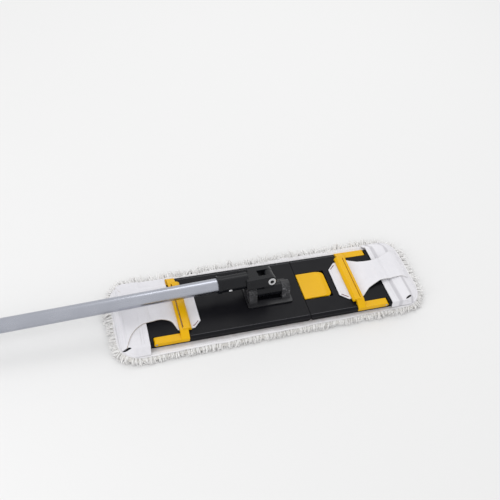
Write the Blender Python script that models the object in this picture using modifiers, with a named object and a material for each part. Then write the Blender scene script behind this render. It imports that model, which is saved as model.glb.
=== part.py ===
"""Flat mop: a folding holder, its pocket mop and a jointed tube handle.

Units are metres and +Z is up. The origin is on the floor under the middle of the
holder. +X runs along the holder to the end with the foot pedal, +Y to the back.
The handle lies along -X with its grip resting on the floor.
"""
import math

import bmesh
import bpy
from mathutils import Matrix, Vector

# ---------------------------------------------------------------- driving dimensions
GAP = 0.0003                 # air between two pieces that touch
RUNNING = 0.0003             # radial clearance round a pin, axle or tube

FRAME_LENGTH = 0.500
FRAME_WIDTH = 0.125
FRAME_HEIGHT = 0.0100
FRAME_CORNER = 0.012
FRAME_SKIN = 0.0025          # top skin, and least wall beside a rib pocket
EDGE_SLOPE_WIDTH = 0.0050    # sloping margin all round the top
EDGE_SLOPE_DROP = 0.0015
RIB = 0.0030
RIB_PITCH = 0.0330

PILE_HEIGHT = 0.0120         # tufted face of the mop
FRINGE_ENDS = 0.0200         # pile beyond the backing, at the two ends
FRINGE_SIDES = 0.0120
PILE_CORNER = 0.046
BACKING_THICKNESS = 0.0035   # woven backing that carries the tufts
BACKING_ENDS = 0.0200        # backing beyond the frame, at the two ends
BACKING_SIDES = 0.0155
BACKING_CORNER = 0.038

FOLD_X = 0.0615              # the seam where the right part folds down
FOLD_LIMIT = 80.0            # degrees
FOLD_PIN_RADIUS = 0.0015
FOLD_KNUCKLE_RADIUS = 0.0035
FOLD_BARREL_RISE = 0.0005    # hinge barrels above the deck's underside
FOLD_KNUCKLE_LENGTH = 0.0080
FOLD_KNUCKLES = 3            # in each of the two groups, at the front and at the back
SEAM_GAP = 0.0008

CLAMP_PIVOT_INSET = 0.0470   # from the frame's end
CLAMP_ARM_LENGTH = 0.0540    # from the pivot to the arms' inner end
CLAMP_ARM_WIDTH = 0.0130
CLAMP_ARM_HEIGHT = 0.0078
NOTCH_FLOOR = 0.0020         # deck left under each arm
FINGER_OVERHANG = 0.0060     # finger bar beyond the arms, towards the joint
CLAMP_BAR_WIDTH = 0.0197
CLAMP_BAR_THICKNESS = 0.0050
CLAMP_BAR_STEP = 0.0145      # from the frame's side to the bar's end
FINGER_BAR_THICKNESS = 0.0065
FINGER_BAR_SLOPE = 0.0035    # width of the sloping side under the fingers
CLAMP_STRIP_WIDTH = 0.0055   # the bar's narrow part, outside the slit
CLAMP_SLIT_WIDTH = 0.0020
CLAMP_PIN_RADIUS = 0.0020
CLAMP_PIN_BITE = 0.0060      # how far a clamp pin reaches into the deck

PEDAL_LENGTH = 0.0508
PEDAL_FRONT = -0.0250
PEDAL_BACK = 0.0280
PEDAL_THICKNESS = 0.0032
PEDAL_PROUD = 0.0015         # above the deck's top
PEDAL_CORNER = 0.0080
PEDAL_BEVEL_WIDTH = 0.0085
PEDAL_BEVEL_DROP = 0.0020
PEDAL_MARGIN = 0.0018        # open groove round the pedal
PEDAL_PIN_INSET = 0.0050
PEDAL_PIN_RADIUS = 0.0020
PEDAL_LUG_RADIUS = 0.0034
PEDAL_LUG_WIDTH = 0.0050
PEDAL_FLOOR = 0.0020
SPRING_RADIUS = 0.0040
SPRING_WIRE_RADIUS = 0.0004
SPRING_TURNS = 3.5
LATCH_WIDTH = 0.0140
LATCH_REACH = 0.0020         # past the fold axis
LATCH_TOOTH = 0.0016

AXLE_Y = -0.0010
AXLE_HEIGHT = 0.0140         # the lower axle above the deck's top
AXLE_RADIUS = 0.0040
BARREL_RADIUS = 0.0110
BARREL_LENGTH = 0.0440
BRACKET_LENGTH = 0.0790
BRACKET_FRONT = -0.0260
BRACKET_BACK = 0.0240
BRACKET_BASE = 0.0030
EAR_THICKNESS = 0.0142
EAR_RADIUS = 0.0115
EAR_FOOT = 0.0190
SCREW_RADIUS = 0.00175
SCREW_HEAD_RADIUS = 0.0035
SCREW_HEAD_HEIGHT = 0.0022
SCREW_GRIP = 0.0070          # thread length in the bracket
SCREW_SPREAD_Y = 0.0110

PIVOT_X = 0.0
PIVOT_ARM = 0.0280           # from the lower axle to the upper pivot
TILT_BACK = 16.0             # degrees the joint leans towards the back
TONGUE_WIDTH = 0.0150
TONGUE_RADIUS = 0.0085
FORK_WIDTH = 0.0340
FORK_RADIUS = 0.0090
FORK_SLOT_DEPTH = 0.0200
FORK_LENGTH = 0.0430
RIVET_RADIUS = 0.0045
RIVET_HOLE_RADIUS = 0.0032
RIVET_FLANGE_RADIUS = 0.0068
RIVET_FLANGE = 0.0012

TUBE_RADIUS = 0.01175
TUBE_WALL = 0.0011
TUBE_LENGTH = 1.400
SOCKET_WALL = 0.0020
SOCKET_START = 0.0385        # along the handle from the upper pivot
SOCKET_MOUTH = 0.0900
SOCKET_STOP = 0.0460         # the tube's end
MOUTH_RING_LENGTH = 0.0055
MOUTH_RING_PROUD = 0.0009
RIDGE_WIDTH = 0.0080
RIDGE_PROUD = 0.0025
RIDGE_ROLL = 48.0

BUTTON_AT = 0.0700
BUTTON_ROLL = -32.0
BUTTON_RADIUS = 0.0038
BUTTON_PROUD = 0.0022
BUTTON_FLANGE_RADIUS = 0.0048
BUTTON_FLANGE = 0.0012
LEAF_WIDTH = 0.0060
LEAF_THICKNESS = 0.0007
LEAF_LENGTH = 0.0340

GRIP_LENGTH = 0.1300
GRIP_RADIUS = 0.0160
GRIP_WAIST = 0.0008
GRIP_GROOVES = 4
CAP_LENGTH = 0.0400
CAP_FLANGE = 0.0060
CAP_EYE_THICKNESS = 0.0110
CAP_NECK_LENGTH = 0.0010      # thinner, so that the eye's flat sides end short of the flange
CAP_NECK_THICKNESS = 0.0090
CAP_SPIGOT = 0.0180
HANG_HOLE_RADIUS = 0.0065

CLOTH = 0.0015
POCKET_DEPTH = 0.0370        # from the pocket's mouth to the frame's end
POCKET_FOOT_LENGTH = 0.0130  # the sloping skirt beyond the frame's end
POCKET_FOOT_WIDTH = 0.0090
POCKET_FOOT_CORNER = 0.0220
TAB_SHOWS = 0.0180           # tab beyond the bar, towards the joint
TAB_SIDE_ROOM = 0.0030       # between the tab's side and the bar's end
TAB_CHAMFER = 0.0120
TAB_STRAIGHT_PAST = 0.0025   # straight side beyond the bar, before the neck
TAB_NECK_INSET = 0.0110      # narrowest place, from the clamp's pivot
TAB_NECK_HALF_WIDTH = 0.0180
TAB_RISE_LENGTH = 0.0070     # over which the tab climbs onto the pocket
TAB_ROOT_PAST = 0.0010       # root beyond the frame's end
TAB_ROOT_STEP = 0.0025       # from the frame's side to the root's

# ---------------------------------------------------------------- derived places
BACKING_Z = PILE_HEIGHT + GAP
DECK_Z = BACKING_Z + BACKING_THICKNESS + GAP
DECK_TOP = DECK_Z + FRAME_HEIGHT
HALF_LENGTH = FRAME_LENGTH / 2
HALF_WIDTH = FRAME_WIDTH / 2
FOLD_Z = DECK_Z + FOLD_KNUCKLE_RADIUS + FOLD_BARREL_RISE
FOLD_DEPTH = DECK_TOP - FOLD_Z
RELIEF_SLOPE = math.tan(math.radians(FOLD_LIMIT / 2))
NOTCH_Y = HALF_WIDTH - CLAMP_ARM_WIDTH
BACKING_LENGTH = FRAME_LENGTH + 2 * BACKING_ENDS
BACKING_WIDTH = FRAME_WIDTH + 2 * BACKING_SIDES
PILE_LENGTH = BACKING_LENGTH + 2 * FRINGE_ENDS
PILE_WIDTH = BACKING_WIDTH + 2 * FRINGE_SIDES
CLAMP_PIVOT_X = HALF_LENGTH - CLAMP_PIVOT_INSET
CLAMP_ARM_INNER = CLAMP_PIVOT_X - CLAMP_ARM_LENGTH
CLAMP_BAR_INNER = CLAMP_ARM_INNER - FINGER_OVERHANG
CLAMP_BAR_OUTER = CLAMP_BAR_INNER + CLAMP_BAR_WIDTH
CLAMP_BAR_END = HALF_WIDTH - CLAMP_BAR_STEP
CLAMP_SLIT_X = CLAMP_BAR_OUTER - CLAMP_STRIP_WIDTH
POCKET_MOUTH = HALF_LENGTH - POCKET_DEPTH
TAB_END = CLAMP_BAR_INNER - TAB_SHOWS
TAB_HALF_WIDTH = CLAMP_BAR_END - TAB_SIDE_ROOM
TAB_STRAIGHT_TO = CLAMP_BAR_OUTER + TAB_STRAIGHT_PAST
TAB_NECK_X = CLAMP_PIVOT_X - TAB_NECK_INSET
TAB_ROOT_X = HALF_LENGTH + TAB_ROOT_PAST
TAB_ROOT_HALF_WIDTH = HALF_WIDTH - TAB_ROOT_STEP
CLAMP_Z = DECK_Z + NOTCH_FLOOR + GAP + CLAMP_ARM_HEIGHT / 2
TAB_Z = DECK_TOP + GAP
BAR_Z = TAB_Z + CLOTH + GAP
PEDAL_X = FOLD_X + SEAM_GAP
PEDAL_RIGHT = PEDAL_X + PEDAL_LENGTH
PEDAL_Z = DECK_TOP + PEDAL_PROUD - PEDAL_THICKNESS
PEDAL_FLOOR_Z = DECK_Z + PEDAL_FLOOR
PEDAL_PIN = Vector((PEDAL_RIGHT - PEDAL_PIN_INSET, 0, PEDAL_FLOOR_Z + PEDAL_LUG_RADIUS + GAP))
PEDAL_MIDDLE_Y = (PEDAL_FRONT + PEDAL_BACK) / 2
AXLE = Vector((0, AXLE_Y, DECK_TOP + AXLE_HEIGHT))
EAR_INNER = BARREL_LENGTH / 2 + GAP
EAR_OUTER = EAR_INNER + EAR_THICKNESS
BRACKET_Z = DECK_TOP + GAP
PRONG_INNER = TONGUE_WIDTH / 2 + GAP
TUBE_BORE = TUBE_RADIUS - TUBE_WALL
SOCKET_BORE = TUBE_RADIUS + RUNNING
SOCKET_RADIUS = SOCKET_BORE + SOCKET_WALL
TUBE_END = SOCKET_STOP + TUBE_LENGTH
HANDLE_END = TUBE_END + GAP + CAP_LENGTH
PIVOT_Z = AXLE.z + PIVOT_ARM * math.cos(math.radians(TILT_BACK))
GRIP_END_DROP = (PIVOT_Z - GRIP_RADIUS) / (TUBE_END * math.cos(math.radians(TILT_BACK)))
HANDLE_DROP = math.asin(GRIP_END_DROP)
PILE_GAP = 0.0005            # between a pile or backing and the relief plane

WIDE = 0.1                   # size of a cutter that only has to reach outside
SIDES = 32


# ---------------------------------------------------------------- scene and helpers
def clear_scene():
    for leftover in list(bpy.data.objects):
        bpy.data.objects.remove(leftover, do_unlink=True)


def new_collection(name):
    collection = bpy.data.collections.new(name)
    bpy.context.scene.collection.children.link(collection)
    return collection


def make_material(name, colour, roughness, metallic=0.0):
    material = bpy.data.materials.new(name)
    material.use_nodes = True
    shader = material.node_tree.nodes["Principled BSDF"]
    shader.inputs["Base Color"].default_value = (*colour, 1)
    shader.inputs["Roughness"].default_value = roughness
    shader.inputs["Metallic"].default_value = metallic
    return material


clear_scene()
PARTS = new_collection("flat_mop")
CUTTERS = new_collection("cutters")
BLACK = make_material("black_plastic", (0.024, 0.024, 0.028), 0.42)
YELLOW = make_material("yellow_plastic", (0.90, 0.58, 0.01), 0.35)
STEEL = make_material("steel", (0.62, 0.62, 0.64), 0.28, 1.0)
ALUMINIUM = make_material("aluminium", (0.66, 0.68, 0.72), 0.32, 1.0)
WHITE = make_material("white_cloth", (0.86, 0.86, 0.87), 0.9)
YARN = make_material("white_yarn", (0.82, 0.81, 0.79), 1.0)


def add_object(name, mesh, material=None, origin=(0, 0, 0), parent=None):
    """A part, or a cutter when it has no material. Its mesh is given in the parent's space."""
    mesh.name = name
    mesh.transform(Matrix.Translation(-Vector(origin)))
    obj = bpy.data.objects.new(name, mesh)
    obj.location = origin
    obj.parent = parent
    if material is None:
        CUTTERS.objects.link(obj)
        obj.hide_render = True
        obj.display_type = "WIRE"
    else:
        PARTS.objects.link(obj)
        mesh.materials.append(material)
        mesh.shade_smooth()
        mesh.set_sharp_from_angle(angle=math.radians(35))
    return obj


def add_empty(name, location, rotation, parent=None):
    empty = bpy.data.objects.new(name, None)
    empty.location = location
    empty.rotation_euler = rotation
    empty.parent = parent
    PARTS.objects.link(empty)
    return empty


def combine(obj, mesh, operation, label):
    """Cut the mesh from the object, or join it on, with a Boolean modifier."""
    tool = add_object(f"{obj.name}_{label}_{len(obj.modifiers)}", mesh)
    tool.parent = obj.parent
    modifier = obj.modifiers.new(label, "BOOLEAN")
    modifier.operation = operation
    modifier.object = tool
    return obj


def cut(obj, mesh, label="cut"):
    return combine(obj, mesh, "DIFFERENCE", label)


def join(obj, mesh, label="join"):
    return combine(obj, mesh, "UNION", label)


def mesh_from(bm):
    bm.normal_update()
    bmesh.ops.recalc_face_normals(bm, faces=bm.faces)
    mesh = bpy.data.meshes.new("mesh")
    bm.to_mesh(mesh)
    bm.free()
    return mesh


def box(low, high):
    bm = bmesh.new()
    bmesh.ops.create_cube(bm, size=1)
    low, high = Vector(low), Vector(high)
    bmesh.ops.scale(bm, vec=high - low, verts=bm.verts)
    bmesh.ops.translate(bm, vec=(low + high) / 2, verts=bm.verts)
    return mesh_from(bm)


def turn_to(direction):
    """The rotation that takes +Z to a direction."""
    return Vector((0, 0, 1)).rotation_difference(Vector(direction)).to_matrix().to_4x4()


def rod(radius, start, end, sides=SIDES, end_radius=None):
    """A cylinder, or a cone, from one point to another."""
    start, end = Vector(start), Vector(end)
    bm = bmesh.new()
    bmesh.ops.create_cone(bm, cap_ends=True, segments=sides, depth=(end - start).length,
                          radius1=radius, radius2=radius if end_radius is None else end_radius)
    bm.transform(Matrix.Translation((start + end) / 2) @ turn_to(end - start))
    return mesh_from(bm)


def arc(centre, radius, start, end, steps):
    """Points on an arc, with the angles in degrees."""
    points = []
    for step in range(steps + 1):
        angle = math.radians(start + (end - start) * step / steps)
        points.append((centre[0] + radius * math.cos(angle), centre[1] + radius * math.sin(angle)))
    return points


def rounded_rectangle(low, high, radius, steps=6):
    (x0, y0), (x1, y1) = low, high
    corners = [((x1 - radius, y1 - radius), 0), ((x0 + radius, y1 - radius), 90),
               ((x0 + radius, y0 + radius), 180), ((x1 - radius, y0 + radius), 270)]
    return [point for centre, start in corners for point in arc(centre, radius, start, start + 90, steps)]


def plate(outline, plane, start, end):
    """A flat outline made solid from start to end along the plane's normal."""
    curve = bpy.data.curves.new("outline", "CURVE")
    curve.dimensions = "2D"
    curve.fill_mode = "BOTH"
    curve.extrude = (end - start) / 2
    spline = curve.splines.new("POLY")
    spline.points.add(len(outline) - 1)
    for point, (u, v) in zip(spline.points, outline):
        point.co = (u, v, 0, 1)
    spline.use_cyclic_u = True
    holder = bpy.data.objects.new("outline", curve)
    bpy.context.scene.collection.objects.link(holder)
    evaluated = holder.evaluated_get(bpy.context.evaluated_depsgraph_get())
    mesh = bpy.data.meshes.new_from_object(evaluated)
    bpy.data.objects.remove(holder)
    axes = {"XY": ((1, 0, 0), (0, 1, 0), (0, 0, 1)),
            "XZ": ((1, 0, 0), (0, 0, 1), (0, -1, 0)),
            "YZ": ((0, 1, 0), (0, 0, 1), (1, 0, 0))}[plane]
    middle = (start + end) / 2 * (-1 if plane == "XZ" else 1)
    turn = Matrix(axes).transposed().to_4x4()
    bm = bmesh.new()
    bm.from_mesh(mesh)
    bmesh.ops.remove_doubles(bm, verts=bm.verts, dist=1e-6)
    bm.transform(turn @ Matrix.Translation((0, 0, middle)))
    return mesh_from(bm)


def loft(rings):
    """A solid through rings of equally many points, from the lowest to the highest."""
    bm = bmesh.new()
    loops = [[bm.verts.new(point) for point in ring] for ring in rings]
    for lower, upper in zip(loops, loops[1:]):
        for i, corner in enumerate(lower):
            after = (i + 1) % len(lower)
            bm.faces.new((corner, lower[after], upper[after], upper[i]))
    bm.faces.new(list(reversed(loops[0])))
    bm.faces.new(loops[-1])
    return mesh_from(bm)


def turned(profile, sides=SIDES, closed=False):
    """A profile of (radius, height) points turned about Z, baked from a Screw modifier."""
    bm = bmesh.new()
    corners = [bm.verts.new((radius, 0, height)) for radius, height in profile]
    pairs = list(zip(corners, corners[1:]))
    if closed:
        pairs.append((corners[-1], corners[0]))
    for pair in pairs:
        bm.edges.new(pair)
    mesh = bpy.data.meshes.new("profile")
    bm.to_mesh(mesh)
    bm.free()
    holder = bpy.data.objects.new("profile", mesh)
    bpy.context.scene.collection.objects.link(holder)
    screw = holder.modifiers.new("turn", "SCREW")
    screw.steps = screw.render_steps = sides
    screw.use_merge_vertices = True
    screw.merge_threshold = 0.00001
    evaluated = holder.evaluated_get(bpy.context.evaluated_depsgraph_get())
    result = bpy.data.meshes.new_from_object(evaluated)
    bpy.data.objects.remove(holder)
    bm = bmesh.new()
    bm.from_mesh(result)
    bmesh.ops.remove_doubles(bm, verts=bm.verts, dist=1e-7)
    return mesh_from(bm)


def along_handle(mesh):
    """Turn a mesh made about Z so that its Z runs out along the handle."""
    mesh.transform(Matrix.Rotation(math.radians(-90), 4, "Y"))
    return mesh


def mirrored(side, low, high):
    """Two x values on the given side of the middle, in rising order."""
    return sorted((side * low, side * high))


# ---------------------------------------------------------------- mop
def relief(side, clearance):
    """The wedge under the fold axis that each half keeps clear of, plus the far side of it."""
    def edge(height):
        return FOLD_X + side * ((FOLD_Z - height) * RELIEF_SLOPE + clearance)
    low = -0.001
    outline = [(edge(low), low), (FOLD_X + side * clearance, FOLD_Z), (FOLD_X + side * clearance, WIDE),
               (FOLD_X - side * FRAME_LENGTH, WIDE), (FOLD_X - side * FRAME_LENGTH, low)]
    return plate(outline, "XZ", -WIDE * 2, WIDE * 2)


def mop_layer(name, length, width, corner, low, high, material):
    """A rounded sheet, as a left and a right half that leave the fold's relief free."""
    outline = rounded_rectangle((-length / 2, -width / 2), (length / 2, width / 2), corner)
    for side, label in ((-1, "left"), (1, "right")):
        half = add_object(f"{name}_{label}", plate(outline, "XY", low, high), material)
        cut(half, relief(side, PILE_GAP))


def fold_strip():
    """The stretch of pile and backing that bends when the holder folds."""
    half_low = FOLD_Z * RELIEF_SLOPE + PILE_GAP - 2 * GAP
    top = BACKING_Z + BACKING_THICKNESS
    half_top = (FOLD_Z - top) * RELIEF_SLOPE + PILE_GAP - 2 * GAP
    outline = [(FOLD_X - half_low, 0), (FOLD_X + half_low, 0), (FOLD_X + half_top, top), (FOLD_X - half_top, top)]
    strip = plate(outline, "XZ", -PILE_WIDTH / 2, PILE_WIDTH / 2)
    obj = add_object("mop_fold_strip", strip, YARN, (FOLD_X, 0, FOLD_Z))
    for direction in (-1, 1):
        y0, y1 = sorted((direction * BACKING_WIDTH / 2, direction * PILE_WIDTH))
        cut(obj, box((0, y0, PILE_HEIGHT), (WIDE * 2, y1, WIDE)), "margin")


def pocket(side, label):
    """The cloth cap sewn over a frame end, open towards the joint and underneath."""
    end = HALF_LENGTH + GAP + CLOTH
    half = HALF_WIDTH + GAP + CLOTH
    low, top = DECK_Z, TAB_Z + CLOTH
    foot = rounded_rectangle((-end - POCKET_FOOT_LENGTH, -half - POCKET_FOOT_WIDTH),
                             (end + POCKET_FOOT_LENGTH, half + POCKET_FOOT_WIDTH), POCKET_FOOT_CORNER)
    crown = rounded_rectangle((-end, -half), (end, half), FRAME_CORNER + GAP + CLOTH)
    obj = add_object(f"pocket_{label}", loft([[(x, y, low) for x, y in foot], [(x, y, top) for x, y in crown]]),
                     WHITE)
    x0, x1 = mirrored(side, -FRAME_LENGTH, POCKET_MOUTH)
    cut(obj, box((x0, -WIDE * 2, 0), (x1, WIDE * 2, WIDE)), "mouth")
    inner = rounded_rectangle((-HALF_LENGTH - GAP, -HALF_WIDTH - GAP), (HALF_LENGTH + GAP, HALF_WIDTH + GAP),
                              FRAME_CORNER + GAP)
    cut(obj, plate(inner, "XY", 0, TAB_Z), "frame")


def tab_half_width(x):
    """Half the tab's width at a distance x from the middle of the holder."""
    if x < TAB_END + TAB_CHAMFER:
        return TAB_HALF_WIDTH - (TAB_END + TAB_CHAMFER - x)
    if x < TAB_STRAIGHT_TO:
        return TAB_HALF_WIDTH
    if x < TAB_NECK_X:
        share = (x - TAB_STRAIGHT_TO) / (TAB_NECK_X - TAB_STRAIGHT_TO)
        rise = 1 - math.sqrt(1 - (1 - share) ** 2)
        return TAB_NECK_HALF_WIDTH + (TAB_HALF_WIDTH - TAB_NECK_HALF_WIDTH) * rise
    share = (x - TAB_NECK_X) / (TAB_ROOT_X - TAB_NECK_X)
    return TAB_NECK_HALF_WIDTH + (TAB_ROOT_HALF_WIDTH - TAB_NECK_HALF_WIDTH) * share ** 2.2


def tab_height(x):
    """The tab's underside: on the deck, then up over the pocket's top sheet."""
    start, end = POCKET_MOUTH - TAB_RISE_LENGTH - CLOTH, POCKET_MOUTH - CLOTH
    share = min(max((x - start) / (end - start), 0), 1)
    return TAB_Z + (CLOTH + GAP) * share * share * (3 - 2 * share)


def tab(side, label):
    """The strip that runs from the pocket to under the clamp's bar."""
    stations = [TAB_END, TAB_END + TAB_CHAMFER]
    steps = 12
    stations += [TAB_STRAIGHT_TO + (TAB_NECK_X - TAB_STRAIGHT_TO) * i / steps for i in range(steps)]
    stations += [TAB_NECK_X + (TAB_ROOT_X - TAB_NECK_X) * i / steps for i in range(steps + 1)]
    bm = bmesh.new()
    rows = []
    for x in stations:
        half, z = tab_half_width(x), tab_height(x)
        rows.append([bm.verts.new((side * x, y, z)) for y in (-half, 0, half)])
    for row, after in zip(rows, rows[1:]):
        for i in range(2):
            bm.faces.new((row[i], after[i], after[i + 1], row[i + 1]))
    bmesh.ops.recalc_face_normals(bm, faces=bm.faces)
    upward = sum(face.normal.z for face in bm.faces) > 0
    mesh = bpy.data.meshes.new("tab")
    bm.to_mesh(mesh)
    bm.free()
    obj = add_object(f"tab_{label}", mesh, WHITE)
    solidify = obj.modifiers.new("thickness", "SOLIDIFY")
    solidify.thickness = CLOTH
    solidify.offset = 1 if upward else -1


# ---------------------------------------------------------------- folding holder
def knuckle_spans():
    """Each hinge knuckle as (side, y low, y high). The outer and inner ones are the left part's."""
    spans = []
    for direction in (-1, 1):
        for number in range(FOLD_KNUCKLES):
            near = HALF_WIDTH - EDGE_SLOPE_WIDTH - number * FOLD_KNUCKLE_LENGTH
            far = near - FOLD_KNUCKLE_LENGTH + GAP
            low, high = sorted((direction * near, direction * far))
            spans.append((-1 if number % 2 == 0 else 1, low, high))
    return spans


def fold_pin_span(direction):
    near = HALF_WIDTH - EDGE_SLOPE_WIDTH
    far = near - FOLD_KNUCKLES * FOLD_KNUCKLE_LENGTH + GAP
    return sorted((direction * near, direction * far))


def rib_pocket_columns(low, high):
    """Spans between cross ribs, of nearly equal width, that fill a stretch of the deck."""
    count = max(1, round((high - low) / RIB_PITCH))
    pitch = (high - low) / count
    return [(low + pitch * i + RIB / 2, low + pitch * (i + 1) - RIB / 2) for i in range(count)]


def deck(side, label):
    """One half of the frame: a ribbed plate with sloping margins, notched for its clamp."""
    lower = rounded_rectangle((-HALF_LENGTH, -HALF_WIDTH), (HALF_LENGTH, HALF_WIDTH), FRAME_CORNER)
    inset = EDGE_SLOPE_WIDTH
    upper = rounded_rectangle((-HALF_LENGTH + inset, -HALF_WIDTH + inset),
                              (HALF_LENGTH - inset, HALF_WIDTH - inset), FRAME_CORNER - inset)
    rings = [[(x, y, z) for x, y in ring] for ring, z in
             ((lower, DECK_Z), (lower, DECK_TOP - EDGE_SLOPE_DROP), (upper, DECK_TOP))]
    obj = add_object(f"deck_{label}", loft(rings), BLACK)
    cut(obj, relief(side, SEAM_GAP / 2), "seam")
    cut_clamp_notches(obj, side)
    cut_rib_pockets(obj, side)
    if side < 0:
        cut(obj, rod(FOLD_DEPTH - GAP, (FOLD_X, PEDAL_MIDDLE_Y - LATCH_WIDTH, FOLD_Z),
                     (FOLD_X, PEDAL_MIDDLE_Y + LATCH_WIDTH, FOLD_Z)), "catch")
        cut_screw_holes(obj)
    else:
        cut_pedal_recess(obj)
    cut_fold_knuckles(obj, side)


def cut_clamp_notches(obj, side):
    for direction in (-1, 1):
        x0, x1 = mirrored(side, CLAMP_ARM_INNER - GAP * 2, CLAMP_PIVOT_X + CLAMP_ARM_HEIGHT / 2 + GAP * 2)
        y0, y1 = sorted((direction * (NOTCH_Y - GAP), direction * WIDE))
        cut(obj, box((x0, y0, DECK_Z + NOTCH_FLOOR), (x1, y1, WIDE)), "notch")
        bore = CLAMP_PIN_RADIUS + RUNNING
        cut(obj, rod(bore, (side * CLAMP_PIVOT_X, direction * (NOTCH_Y - CLAMP_PIN_BITE - GAP), CLAMP_Z),
                     (side * CLAMP_PIVOT_X, direction * NOTCH_Y, CLAMP_Z), 20), "pin_hole")


def cut_rib_pockets(obj, side):
    """Pockets from below, between the ribs, clear of the bracket, pedal, clamps and hinge."""
    outer = NOTCH_Y - CLAMP_PIN_BITE - 2 * FRAME_SKIN
    start = PEDAL_RIGHT + PEDAL_MARGIN + RIB if side > 0 else BRACKET_LENGTH / 2 + RIB
    end = HALF_LENGTH - EDGE_SLOPE_WIDTH - FRAME_SKIN
    for low, high in rib_pocket_columns(start, end):
        for y0, y1 in ((-outer, -RIB / 2), (RIB / 2, outer)):
            x0, x1 = mirrored(side, low, high)
            cut(obj, box((x0, y0, 0), (x1, y1, DECK_TOP - FRAME_SKIN)), "rib")


def cut_pedal_recess(obj):
    y0, y1 = PEDAL_FRONT - PEDAL_MARGIN, PEDAL_BACK + PEDAL_MARGIN
    x1 = PEDAL_RIGHT + PEDAL_MARGIN
    cut(obj, box((FOLD_X - 0.002, y0, PEDAL_FLOOR_Z), (x1, y1, WIDE)), "recess")
    reach = PEDAL_PIN_RADIUS * 3
    cut(obj, rod(PEDAL_PIN_RADIUS + RUNNING, (PEDAL_PIN.x, y0 - reach, PEDAL_PIN.z),
                 (PEDAL_PIN.x, y1 + reach, PEDAL_PIN.z), 20), "pin_hole")


def screw_places():
    middle = (EAR_INNER + EAR_OUTER) / 2
    return [(x, AXLE_Y + y) for x in (-middle, middle) for y in (-SCREW_SPREAD_Y, SCREW_SPREAD_Y)]


def cut_screw_holes(obj):
    for x, y in screw_places():
        cut(obj, rod(SCREW_RADIUS + RUNNING, (x, y, 0), (x, y, WIDE), 16), "screw_hole")
        top = DECK_Z + SCREW_HEAD_HEIGHT + 2 * GAP
        cut(obj, rod(SCREW_HEAD_RADIUS + RUNNING, (x, y, 0), (x, y, top), 16), "head_hole")


def cut_fold_knuckles(obj, side):
    for owner, low, high in knuckle_spans():
        start, end = (FOLD_X, low, FOLD_Z), (FOLD_X, high, FOLD_Z)
        if owner == side:
            join(obj, rod(FOLD_KNUCKLE_RADIUS, start, end), "knuckle")
        else:
            room = Vector((0, GAP, 0))
            cut(obj, rod(FOLD_KNUCKLE_RADIUS + GAP, Vector(start) - room, Vector(end) + room), "groove")
    for direction in (-1, 1):
        low, high = fold_pin_span(direction)
        cut(obj, rod(FOLD_PIN_RADIUS + RUNNING, (FOLD_X, low - GAP * 3, FOLD_Z), (FOLD_X, high + GAP * 3, FOLD_Z),
                     16), "pin_bore")


def fold_pins():
    for direction, label in ((-1, "front"), (1, "back")):
        low, high = fold_pin_span(direction)
        add_object(f"fold_pin_{label}", rod(FOLD_PIN_RADIUS, (FOLD_X, low, FOLD_Z), (FOLD_X, high, FOLD_Z), 16),
                   STEEL, (FOLD_X, 0, FOLD_Z))


def clamp(side, label):
    """A U of two arms and a raised bar that holds the mop's tab down on the deck."""
    pivot = (side * CLAMP_PIVOT_X, 0, CLAMP_Z)
    radius = CLAMP_ARM_HEIGHT / 2
    y_arm = NOTCH_Y + GAP
    y_bar = CLAMP_BAR_END
    bar_top = BAR_Z + CLAMP_BAR_THICKNESS
    low, shoulder = CLAMP_Z - radius, CLAMP_Z + radius
    bridge = [(-HALF_WIDTH, low), (-y_arm, low), (-y_arm, BAR_Z), (y_arm, BAR_Z), (y_arm, low), (HALF_WIDTH, low),
              (HALF_WIDTH, shoulder), (y_bar, bar_top), (-y_bar, bar_top), (-HALF_WIDTH, shoulder)]
    x0, x1 = mirrored(side, CLAMP_ARM_INNER, CLAMP_BAR_OUTER)
    obj = add_object(f"clamp_{label}", plate(bridge, "YZ", x0, x1), YELLOW, pivot)
    arm_end = (side * CLAMP_PIVOT_X, CLAMP_Z)
    back = side * (CLAMP_ARM_INNER + GAP)
    turn = arc(arm_end, radius, 90, -90, 10) if side > 0 else arc(arm_end, radius, 90, 270, 10)
    arm = [(back, shoulder), *turn, (back, low)]
    for direction in (-1, 1):
        y0, y1 = sorted((direction * y_arm, direction * (HALF_WIDTH - GAP / 3)))
        join(obj, plate(arm, "XZ", y0, y1), "arm")
    finger_top = BAR_Z + FINGER_BAR_THICKNESS
    finger_bar = [(side * x, z) for x, z in
                  ((CLAMP_BAR_INNER, BAR_Z), (CLAMP_SLIT_X, BAR_Z), (CLAMP_SLIT_X, finger_top),
                   (CLAMP_BAR_INNER + FINGER_BAR_SLOPE, finger_top),
                   (CLAMP_BAR_INNER, finger_top - FINGER_BAR_SLOPE))]
    join(obj, plate(finger_bar, "XZ", -y_bar, y_bar), "finger_bar")
    x0, x1 = mirrored(side, CLAMP_SLIT_X - CLAMP_SLIT_WIDTH / 2, CLAMP_SLIT_X + CLAMP_SLIT_WIDTH / 2)
    cut(obj, box((x0, -y_bar + FINGER_BAR_SLOPE, 0), (x1, y_bar - FINGER_BAR_SLOPE, WIDE)), "slit")
    for direction in (-1, 1):
        start = (side * CLAMP_PIVOT_X, direction * (y_arm - 0.002), CLAMP_Z)
        end = (side * CLAMP_PIVOT_X, direction * WIDE, CLAMP_Z)
        cut(obj, rod(CLAMP_PIN_RADIUS + RUNNING, start, end, 20), "pin_bore")


def clamp_pins():
    number = 1
    for side in (-1, 1):
        for direction in (-1, 1):
            start = (side * CLAMP_PIVOT_X, direction * (NOTCH_Y - CLAMP_PIN_BITE), CLAMP_Z)
            end = (side * CLAMP_PIVOT_X, direction * (HALF_WIDTH - GAP), CLAMP_Z)
            add_object(f"clamp_pin_{number}", rod(CLAMP_PIN_RADIUS, start, end, 20), STEEL, start)
            number += 1


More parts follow.
